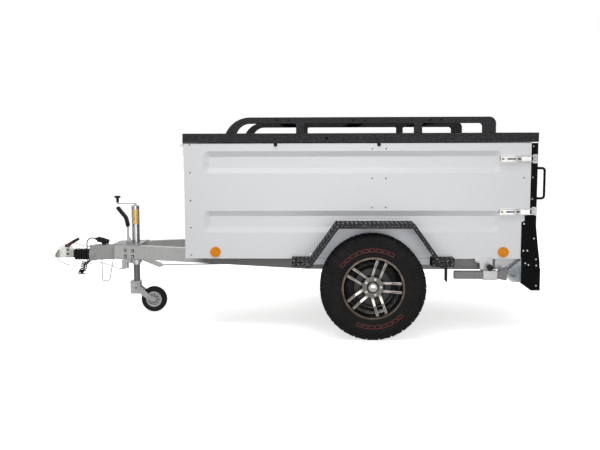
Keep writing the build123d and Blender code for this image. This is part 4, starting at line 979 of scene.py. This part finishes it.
class TRAILER_OT_bolts(bpy.types.Operator):
    """Hexagon bolts of the rack, light guards and drawbar, and the drawbar's washers"""
    bl_idname = "trailer.bolts"
    bl_label = "Bolts"

    def execute(self, context):
        radius = context.scene.trailer_sizes.bolt
        head, small = bolt_head(radius), bolt_head(radius * SMALL_BOLT)
        spread(small, on_flanks(RAIL_BOLTS, RAIL_FLANK), "rack_bolts", "recess", "lid", 30)
        spread(small, on_flanks(GUARD_BOLTS, GUARD_FLANK), "guard_bolts", "zinc", "chassis", 30)
        beam = []
        for side in (1, -1):
            for x, z in BEAM_BOLTS:
                y, way = beam_flank(x)
                beam.append(seat(at(x, y * side, z), (way.x, way.y * side, 0)))
        spread(head, beam, "drawbar_bolts", "head", "chassis", 30)
        washer = soften(disc("washer", 24, radius * WASHER_WIDE, WASHER_DEEP), 0.0003)
        spread(washer, beam, "drawbar_washers", "recess", "chassis", 30)
        discard(head, small, washer)
        return {"FINISHED"}


class TRAILER_OT_knobs(bpy.types.Operator):
    """Rubber buffers under the lid, its blanking plugs and the prop stands' clamp knobs"""
    bl_idname = "trailer.knobs"
    bl_label = "Buffers and knobs"

    def execute(self, context):
        buffer = stepped(disc("buffer", *BUFFER), BUFFER_RINGS)
        spread(buffer, on_flanks(LID_BUFFERS, FLANK), "lid_buffers", "rubber", "chassis", 40)
        plug = stepped(disc("blanking", *PLUG), PLUG_RINGS)
        spread(plug, on_flanks([LID_PLUG], LID_FLANK), "lid_plugs", "recess", "lid", 40)
        cap = self.fluted_cap()
        for (name, side), place in zip(SIDES, on_flanks([KNOB], KNOB_OUT)):
            spread(cap, [place], "knob_cap_" + name, "plastic", "prop_swivel_" + name, 30)
        discard(buffer, plug, cap)
        return {"FINISHED"}

    def fluted_cap(self):
        """A clamp knob's cap with a sunk face, every other side pressed in."""
        cap = disc("cap", *CAP)
        pick_top(cap)
        bpy.ops.mesh.inset(thickness=CAP_RIM)
        extrude((0, 0, -CAP_SUNK))
        flute = 2 * pi / CAP[0]
        pick(cap, lambda middle, normal: abs(normal.z) < 0.1
             and round(atan2(middle.y, middle.x) / flute) % 2)
        bpy.ops.transform.resize(value=(CAP_FLUTE, CAP_FLUTE, 1))
        return cap


# ---- tread plate ----

# Fenders: station of the middle, half of the flat top, heights, run of a leg to its drop, depth
# of the lip, and Y of the edges. Steps: their ends' stations, height, Y and depth of the face.
FENDER_MIDDLE, FENDER_HALF, FENDER_TOP, FENDER_LOW = 1.263, 0.250, 0.762, 0.482
FENDER_LEAN, FENDER_LIP, FENDER_IN, FENDER_OUT = 5 / 7, 0.028, 0.658, 0.895
STEPS, STEP_TOP, STEP_OUT, STEP_FACE = ((0.722, 0.861), (1.641, 1.790)), 0.521, 0.750, 0.046
STEP_EDGE = 0.004                               # plain strip along the top of a step's face
EDGE_MARGIN, RUN_SHARE = 0.006, 0.985           # plain strip along a fender's edge, and at its ends
LIP_SINK, LIP_PITCH = 0.0009, 0.0225            # of the bars on the fenders' lips
TREAD_BAR, BAR_TOP = (0.021, 0.0052, 0.0012), (0.62, 0.45)      # its sides, and its top's share
# Sheets laid in the arches as painted light: heights of the edges, depth of the fold, Y, the bead's
# ends and height, and the thicknesses.
ARCH_LOW, ARCH_TOP, ARCH_FOLD, ARCH_OUT = 0.5115, FENDER_TOP - 0.006, 0.030, FLANK + 0.0002
BEAD_ENDS, BEAD_HIGH, ARCH_THICK, FOLD_THICK = (-0.245, 0.258), 0.0045, 0.0009, 0.004


def tread_bar():
    """One raised bar of tread plate: a low lozenge with tapered ends."""
    bar = brick("tread bar", TREAD_BAR, (0, 0, 0.0004))
    pick_top(bar)
    bpy.ops.transform.resize(value=(*BAR_TOP, 1))
    return bar


def bar_field(origin, along, across, columns, rows):
    """Bars in alternating slants over a rectangle, facing away from the wheel's middle."""
    out = along.cross(across).normalized()
    if out.dot(origin - WHEEL_MIDDLE) < 0:
        out = -out
    way = along.normalized()
    basis = basis_of(way, out.cross(way), out)
    placements = []
    for column in range(columns):
        for row in range(rows):
            point = origin + along * ((column + 0.5) / columns) + across * ((row + 0.5) / rows)
            slant = pi / 4 if (column + row) % 2 else -pi / 4
            placements.append(Matrix.Translation(point) @ basis @ Matrix.Rotation(slant, 4, "Z"))
    return placements


def fender_bars(side, pitch):
    """Bars on one fender's top, legs and lip."""
    wide = Vector((0, side * (FENDER_OUT - FENDER_IN - EDGE_MARGIN), 0))
    drop = FENDER_TOP - FENDER_LOW
    runs = [(-1, Vector((-2 * FENDER_HALF, 0, 0)))]
    runs += [(end, Vector((-end * FENDER_LEAN * drop, 0, -drop))) for end in (-1, 1)]
    placements = []
    for end, run in runs:
        corner = at(FENDER_MIDDLE + end * FENDER_HALF, 0, FENDER_TOP)
        placements += bar_field(corner + Vector((0, FENDER_IN * side, 0)), run * RUN_SHARE, wide,
                                round(run.length / pitch), round(wide.length / pitch))
        inward = Vector((-run.z, 0, run.x)).normalized() * FENDER_LIP
        if inward.dot(WHEEL_MIDDLE - corner) < 0:
            inward = -inward
        edge = corner + Vector((0, (FENDER_OUT - LIP_SINK) * side, 0))
        placements += bar_field(edge, run, inward, round(run.length / LIP_PITCH), 1)
    return placements


def step_bars(side, pitch):
    """Bars on the tops and outer faces of one side's two steps."""
    placements, deep = [], STEP_OUT - FLANK
    for near, far in STEPS:
        run = Vector((near - far, 0, 0))
        columns = round(run.length / pitch)
        placements += bar_field(at(near, FLANK * side, STEP_TOP), run, Vector((0, deep * side, 0)),
                                columns, round(deep / pitch))
        placements += bar_field(at(near, STEP_OUT * side, STEP_TOP - STEP_EDGE), run,
                                Vector((0, 0, -STEP_FACE)), columns, 2)
    return placements


class TRAILER_OT_painted_light_sheets(bpy.types.Operator):
    """Bright sheets laid over the side sheets in the wheel arches, painted light, with a folded
    lower edge
    """
    bl_idname = "trailer.arch_sheets"
    bl_label = "Painted light sheets"

    def execute(self, context):
        foot = FENDER_HALF + FENDER_LEAN * (ARCH_TOP - ARCH_LOW)
        feet, shoulders = (-foot, foot), (-FENDER_HALF, FENDER_HALF)
        # Each plate's low and high edge, its ends along both, and its thickness.
        plates = ((ARCH_LOW, ARCH_TOP, feet, shoulders, ARCH_THICK),
                  (ARCH_LOW, ARCH_LOW + ARCH_FOLD, feet, feet, FOLD_THICK),
                  (FENDER_TOP, FENDER_TOP + BEAD_HIGH, BEAD_ENDS, BEAD_ENDS, FOLD_THICK))
        for name, side in SIDES:
            parts = []
            for low, high, lower, upper, thick in plates:
                corners = ((upper[0], high), (upper[1], high), (lower[1], low), (lower[0], low))
                part = slab("plate", [at(FENDER_MIDDLE + x, ARCH_OUT * side, z)
                                      for x, z in corners], (0, thick * side, 0))
                parts.append(soften(part, 0.001) if thick == FOLD_THICK else part)
            complete(join("painted_light_sheet_" + name, parts), "inner", "chassis")
        return {"FINISHED"}


class TRAILER_OT_tread_plate(bpy.types.Operator):
    """Raised bars of the tread plate on fenders and steps, painted brighter than the plate as
    highlight
    """
    bl_idname = "trailer.tread_plate"
    bl_label = "Tread plate"

    def execute(self, context):
        pitch = context.scene.trailer_sizes.plate_pitch
        bar = tread_bar()
        for name, side in SIDES:
            spread(bar, fender_bars(side, pitch), "fender_bars_" + name, "bars", "chassis", 20)
            spread(bar, step_bars(side, pitch), "step_bars_" + name, "bars", "chassis", 20)
        discard(bar)
        return {"FINISHED"}


# ---- tyres ----

TYRE_LUGS, TREAD_R = 26, 0.344
# Half outlines across the tyre: distance from its middle plane, and radius.
CASING = ((0.0940, 0.2045), (0.1035, 0.2075), (0.1075, 0.2165), (0.1055, 0.2235), (0.1072, 0.2290),
          (0.1088, 0.2380), (0.1090, 0.2500), (0.1090, 0.2640), (0.1100, 0.2655), (0.1098, 0.2685),
          (0.1086, 0.2700), (0.1078, 0.2840), (0.1084, 0.2860), (0.1076, 0.2900), (0.1052, 0.2990),
          (0.1005, 0.3130), (0.0900, 0.3280), (0.0760, 0.3370), (0.0500, 0.3395), (0.0, 0.3400))
SHOULDER_BLOCK = ((0.0500, 0.3340), (0.0500, 0.3440), (0.0770, 0.3430), (0.0890, 0.3370),
                  (0.0980, 0.3245), (0.1040, 0.3090), (0.1062, 0.2985), (0.1030, 0.2980),
                  (0.0960, 0.3100), (0.0800, 0.3240))
INNER_BLOCK = ((0.0070, 0.3340), (0.0070, 0.3436), (0.0440, 0.3436), (0.0440, 0.3340))
SHOULDER_LONG, INNER_LONG = 0.0365, 0.017       # half lengths of the blocks round the tyre
SIPE_HALF, INNER_SKEW = 0.001, 0.005            # half a shoulder block's slit; slant of inner ones
BLOCK_DROP, BLOCK_BEVEL = 0.0008, 0.0014        # of a block's rear edge, and of all its edges
FLANK_BARS = ((66, 154, 9), (252, 326, 8))      # arcs of outlined bars: degrees, and their number
BAR_LINE = ((0.1091, 0.2400), (0.1092, 0.2520), (0.1095, 0.2620))
BAR_GAP, BAR_EDGE, BAR_PROUD = 0.09, 0.0014, 0.0007     # half the gap's share, outline and height


def around(model, name, count, shift):
    """Copies of a model round the wheel's axis, joined."""
    turns = [Matrix.Rotation(2 * pi * (step + shift) / count, 4, "Y") for step in range(count)]
    ring = merged(name, copies_of(model, name, turns))
    discard(model)
    return ring


def block(outline, near, far, skew=0.0):
    """A tread block: its outline across the tyre, extruded round it and bevelled."""
    piece = slab("block", [(near, y, z) for y, z in outline], (far - near, 0, 0))
    pick(piece, lambda middle, normal: normal.x > 0.9)
    move((0, 0, -BLOCK_DROP))
    pick_loose(piece, lambda place: place.y < 0.06)
    move((skew, 0, 0))
    return soften(piece, BLOCK_BEVEL)


def tyre_model(steps):
    """Casing with four rows of siped blocks, round the origin, its outer flank at +Y."""
    ring = [(0, y, z) for y, z in CASING]
    ring += [(0, -y, z) for y, z in reversed(CASING[:-1])] + [ring[0]]
    parts = [turned("casing", ring, steps, (0, 1, 0))]
    for side in (1, -1):
        shoulder, inner = ([(y * side, z) for y, z in outline]
                           for outline in (SHOULDER_BLOCK, INNER_BLOCK))
        for near, far in ((-SHOULDER_LONG, -SIPE_HALF), (SIPE_HALF, SHOULDER_LONG)):
            parts.append(around(block(shoulder, near, far), "blocks", TYRE_LUGS, 0))
        parts.append(around(block(inner, -INNER_LONG, INNER_LONG, INNER_SKEW), "blocks",
                            2 * TYRE_LUGS, 0.25 * (1 + side)))
    return join("tyre", parts)


def flank_bars():
    """Plain outlined bars on the tyre's outer flank."""
    bars = []
    for first, last, count in FLANK_BARS:
        width = (last - first) / count
        for index in range(count):
            angle = radians(first + width * (index + BAR_GAP))
            bar = chain("bar", [(-reach * cos(angle), y, reach * sin(angle))
                                for y, reach in BAR_LINE])
            bpy.ops.mesh.spin(steps=5, angle=radians(width * (1 - 2 * BAR_GAP)),
                              center=(0, 0, 0), axis=(0, 1, 0))
            outward()
            bpy.ops.mesh.select_mode(type="FACE")
            bpy.ops.mesh.select_all(action="SELECT")
            bpy.ops.mesh.inset(thickness=BAR_EDGE)
            bpy.ops.mesh.delete(type="FACE")
            bpy.ops.mesh.select_all(action="SELECT")
            extrude((0, BAR_PROUD, 0))
            outward()
            bars.append(bar)
    return join("bars", bars)


class TRAILER_OT_tyres(bpy.types.Operator):
    """All-terrain tyres, in place of the plain ones"""
    bl_idname = "trailer.tyres"
    bl_label = "Tyres"

    def execute(self, context):
        model, bars = tyre_model(context.scene.trailer_sizes.tyre_steps), flank_bars()
        for name, side in SIDES:
            middle = middle_of("tyre_" + name)
            place = (Matrix.Translation((middle.x, middle.y, TREAD_R))
                     @ Matrix.Rotation(0 if side > 0 else pi, 4, "Z"))
            tyre = spread(model, [place], "tread_tyre_" + name, "tyre_" + name, "wheel_" + name, 28)
            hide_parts("tyre_" + name)
            spread(bars, [place], "flank_bars_" + name, "outline", "wheel_" + name, 30)
        discard(model, bars)
        return {"FINISHED"}


# ---- drawbar, wheel and latch fittings ----

# The jockey tube's station and radius, its plate's heights, and the arc that the plate covers.
JOCKEY_TUBE, JOCKEY_R = -0.492, 0.030
PLATE_LOW, PLATE_HIGH, PLATE_FROM, PLATE_TURN = 0.672, 0.784, radians(37), radians(81)
PLATE_OFF, PLATE_THICK = 0.0003, 0.0012
# Slots, dark discs of painted shade, as (station, height, length), then Y of the faces that they
# are in, and their radii.
HEAD_SLOTS = ((-1.034, 0.478, 0.0001), (-1.008, 0.478, 0.008), (-1.016, 0.447, 0.026))
LATCH_SLOTS = [(x, z, length) for z in (1.170, 0.822)
               for x, length in ((2.106, 0.008), (2.160, 0.046), (2.212, 0.014))]
HEAD_FACE, LATCH_FACE = (0.0312, 0.0052), (0.6761, 0.0045)
SLOT_DEEP, SLOT_SUNK, SLOT_RIM = 0.0008, 0.0003, 0.3        # the rim is a share of the radius
# Dark strips along the spokes, painted shade of their darker middles: distance from the axle, Y,
# half a pair's distance, and slope.
SPOKE_PAIRS, STRIP_FROM_AXLE, STRIP_OUT, SPOKE_APART = 5, 0.152, 0.851, 0.0285
SPOKE_RISE, SPOKE_SHADE_STRIP = atan2(0.032, 0.068), (0.066, 0.0008, 0.0052)
# The jockey wheel's ring, and its dark ribs of painted shade for its recesses, in shares of its
# radius, and their heights.
JOCKEY_RING = ((0.74, 0.0), (0.78, 0.0022), (0.90, 0.0022), (0.93, 0.0), (0.74, 0.0))
JOCKEY_RIBS, RIB_AT, RIB_LONG, RIB_WIDE, RIB_DEEP = 9, 0.50, 0.34, 0.0042, 0.0013
# The dust shields' outline, as (radius, distance outwards) from this Y.
SHIELD_OUT = 0.702
SHIELD = ((0.132, 0.0), (0.150, -0.004), (0.158, -0.004), (0.160, -0.001), (0.160, 0.001),
          (0.150, -0.002), (0.132, 0.002), (0.132, 0.0))
# The bellows' clips: places, and sides.
BELLOWS_CLIPS, CLIP = [(x, 0.012, 0.4835) for x in (-0.930, -0.882)], (0.017, 0.026, 0.007)
FERRULES = ((-0.6075, 0, 0.330), (-0.8435, 0.014, 0.503))
# Outlines of the cords' fittings, as (radius to the cord's, distance along it).
BORE = 1.02
FERRULE = ((BORE, 0), (1.9, 0.0006), (2.1, 0.003), (1.75, 0.0055), (2.1, 0.008), (2.1, 0.013),
           (1.9, 0.0155), (BORE, 0.016))
# The strain relief: its foot, and tapering rings, whose outline is in shares of their width.
RELIEF_FOOT, RELIEF_WIDE, RELIEF_TAPER, RELIEF_RINGS, RELIEF_PITCH = -0.001, 1.75, 0.13, 5, 0.0042
RELIEF_RING = ((1, 0), (1, 0.0026), (0.86, 0.0028), (0.86, 0.0040))


class TRAILER_OT_jack_plate(bpy.types.Operator):
    """The blank plate wrapped round the jockey wheel's tube"""
    bl_idname = "trailer.jack_plate"
    bl_label = "Jack plate"

    def execute(self, context):
        tube = at(JOCKEY_TUBE, 0, 0)
        reach = JOCKEY_R + PLATE_OFF
        corner = (tube.x - reach * cos(PLATE_FROM), reach * sin(PLATE_FROM))
        plate = chain("plate", [(*corner, PLATE_LOW), (*corner, PLATE_HIGH)])
        bpy.ops.mesh.spin(steps=14, angle=PLATE_TURN, center=tube, axis=(0, 0, 1))
        outward()
        bpy.ops.object.mode_set(mode="OBJECT")
        wall = plate.modifiers.new("wall", "SOLIDIFY")
        wall.thickness, wall.offset = PLATE_THICK, 1.0
        bpy.ops.object.modifier_apply(modifier=wall.name)
        bpy.ops.object.mode_set(mode="EDIT")
        outward()
        complete(plate, "yellow", "chassis").name = "jack_plate"
        return {"FINISHED"}


class TRAILER_OT_recesses(bpy.types.Operator):
    """Dark sunk discs in the holes and slots of the tow head and of the latches, as painted shade
    """
    bl_idname = "trailer.recesses"
    bl_label = "Painted shade in holes and slots"

    def execute(self, context):
        self.slots("head_slot_shade", HEAD_SLOTS, *HEAD_FACE)
        self.slots("latch_slot_shade", LATCH_SLOTS, *LATCH_FACE)
        return {"FINISHED"}

    def slots(self, name, places, y, radius):
        """Round-ended dark slots with a sunk face, painted shade, at (station, height, length) on
        both sides.
        """
        pieces = []
        for station, z, length in places:
            slot = disc("slot", 20, radius, SLOT_DEEP, -SLOT_DEEP / 2)
            pick_loose(slot, lambda place: place.x > 0)
            move((length / 2, 0, 0))
            pick_loose(slot, lambda place: place.x <= 0)
            move((-length / 2, 0, 0))
            pick_top(slot)
            bpy.ops.mesh.inset(thickness=radius * SLOT_RIM)
            extrude((0, 0, -SLOT_SUNK))
            pieces += copies_of(slot, name, on_flanks([(station, z)], y))
            discard(slot)
        complete(merged(name, pieces), "recess", "chassis")


class TRAILER_OT_spoke_grooves(bpy.types.Operator):
    """Dark strips along the faces of the rims' twin spokes, painted shade"""
    bl_idname = "trailer.spoke_grooves"
    bl_label = "Spoke grooves"

    def execute(self, context):
        groove = soften(brick("groove", SPOKE_SHADE_STRIP, (0, 0.0002, 0)), 0.0002)
        slope = Matrix.Rotation(SPOKE_RISE, 4, "Z")
        for name, side in SIDES:
            places, out = [], Vector((0, side, 0))
            for pair in range(SPOKE_PAIRS):
                turn = 2 * pi * pair / SPOKE_PAIRS
                along = Vector((-cos(turn), 0, sin(turn)))
                wheel = (Matrix.Translation(WHEEL_MIDDLE)
                         @ basis_of(along, out, along.cross(out)))
                for apart in (SPOKE_APART, -SPOKE_APART):
                    spot = Matrix.Translation((STRIP_FROM_AXLE, STRIP_OUT, apart))
                    places.append(wheel @ spot @ slope)
            spread(groove, places, "spoke_grooves_" + name, "groove", "wheel_" + name, 30)
        discard(groove)
        return {"FINISHED"}


class TRAILER_OT_jockey_hub(bpy.types.Operator):
    """Bright rim ring, and dark ribs of painted shade for the recesses, on the jockey wheel's faces
    """
    bl_idname = "trailer.jockey_hub"
    bl_label = "Jockey wheel hub"

    def execute(self, context):
        low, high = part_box("jockey_wheel")
        middle = middle_of("jockey_wheel")
        out, reach = (high[1] - low[1]) / 2, (high[2] - low[2]) / 2
        ring = turned("ring", [(reach * share, 0, rise) for share, rise in JOCKEY_RING], 48)
        shade_rib = soften(brick("shade_rib", (reach * RIB_LONG, RIB_WIDE, RIB_DEEP),
                           (reach * RIB_AT, 0, 0.0006)), 0.0004)
        for name, side in SIDES:
            face = seat(middle + Vector((0, out * side, 0)), (0, side, 0))
            spread(ring, [face], "jockey_ring_" + name, "head", "jockey_roller")
            spread(shade_rib, [face @ Matrix.Rotation(2 * pi * step / JOCKEY_RIBS, 4, "Z")
                         for step in range(JOCKEY_RIBS)],
                   "jockey_recess_shade_" + name, "recess", "jockey_roller")
        discard(ring, shade_rib)
        return {"FINISHED"}


class TRAILER_OT_dust_shields(bpy.types.Operator):
    """Dark dust shields behind the brake drums"""
    bl_idname = "trailer.dust_shields"
    bl_label = "Dust shields"

    def execute(self, context):
        shield = turned("shield", [(reach, 0, z) for reach, z in SHIELD], 72)
        for name, side in SIDES:
            place = seat(WHEEL_MIDDLE + Vector((0, SHIELD_OUT * side, 0)), (0, side, 0))
            spread(shield, [place], "dust_shield_" + name, "drum", "chassis", 30)
        discard(shield)
        return {"FINISHED"}


class TRAILER_OT_clips(bpy.types.Operator):
    """Bright clips on the bellows, cable ferrules and the plug cable's strain relief"""
    bl_idname = "trailer.clips"
    bl_label = "Clips and ferrules"

    def execute(self, context):
        clip = soften(brick("clip", CLIP, (0, 0, 0.001)), 0.0015, 2)
        spread(clip, [seat(at(*place), (0, 0, 1)) for place in BELLOWS_CLIPS], "bellows_clips",
               "zinc", "chassis")
        wire = context.scene.trailer_sizes.wire / 2
        ferrule = turned("ferrule", [(wire * wide, 0, z) for wide, z in FERRULE], 16)
        spread(ferrule, [seat(at(*place), (1, 0, 0)) for place in FERRULES], "rope_ferrules",
               "zinc", "chassis")
        thick = context.scene.trailer_sizes.cable / 2
        sleeve = [(BORE, RELIEF_FOOT), (RELIEF_WIDE, RELIEF_FOOT)]
        for ring in range(RELIEF_RINGS):
            sleeve += [((RELIEF_WIDE - RELIEF_TAPER * ring) * share, RELIEF_PITCH * ring + rise)
                       for share, rise in RELIEF_RING]
        sleeve.append((BORE, RELIEF_RINGS * RELIEF_PITCH + 0.0005))
        relief = turned("relief", [(thick * wide, 0, z) for wide, z in sleeve], 20)
        way = at(*LOWER_LEAD[1]) - at(*GLAND_MOUTH)
        spread(relief, [seat(at(*GLAND_MOUTH), way)], "strain_relief", "rubber", "chassis")
        discard(clip, ferrule, relief)
        return {"FINISHED"}


OPERATORS = (TRAILER_OT_stage, TRAILER_OT_plug_cable, TRAILER_OT_breakaway_cable,
             TRAILER_OT_finishes, TRAILER_OT_tyres, TRAILER_OT_painted_light_sheets,
             TRAILER_OT_tread_plate, TRAILER_OT_rivets, TRAILER_OT_bolts, TRAILER_OT_knobs,
             TRAILER_OT_jack_plate, TRAILER_OT_recesses, TRAILER_OT_spoke_grooves,
             TRAILER_OT_jockey_hub, TRAILER_OT_dust_shields, TRAILER_OT_clips)


class TRAILER_PT_tools(bpy.types.Panel):
    """Sizes, colours and pieces of the trailer"""
    bl_idname = "TRAILER_PT_tools"
    bl_label = "Trailer"
    bl_space_type = "VIEW_3D"
    bl_region_type = "UI"
    bl_category = "Trailer"

    def draw(self, context):
        for group in (context.scene.trailer_sizes, context.scene.trailer_colours):
            for key in group.bl_rna.properties.keys():
                if key not in ("rna_type", "name"):
                    self.layout.prop(group, key)
        for kind in OPERATORS:
            self.layout.operator(kind.bl_idname)


CLASSES = (TrailerSizes, TrailerColours, *OPERATORS, TRAILER_PT_tools)


def register():
    for kind in CLASSES:
        bpy.utils.register_class(kind)
    bpy.types.Scene.trailer_sizes = PointerProperty(type=TrailerSizes)
    bpy.types.Scene.trailer_colours = PointerProperty(type=TrailerColours)


def unregister():
    del bpy.types.Scene.trailer_colours
    del bpy.types.Scene.trailer_sizes
    for kind in reversed(CLASSES):
        bpy.utils.unregister_class(kind)


def main():
    register()
    make_finishes(bpy.context.scene.trailer_colours)
    for kind in OPERATORS:
        family, task = kind.bl_idname.split(".")
        getattr(getattr(bpy.ops, family), task)()


if __name__ == "__main__":
    main()
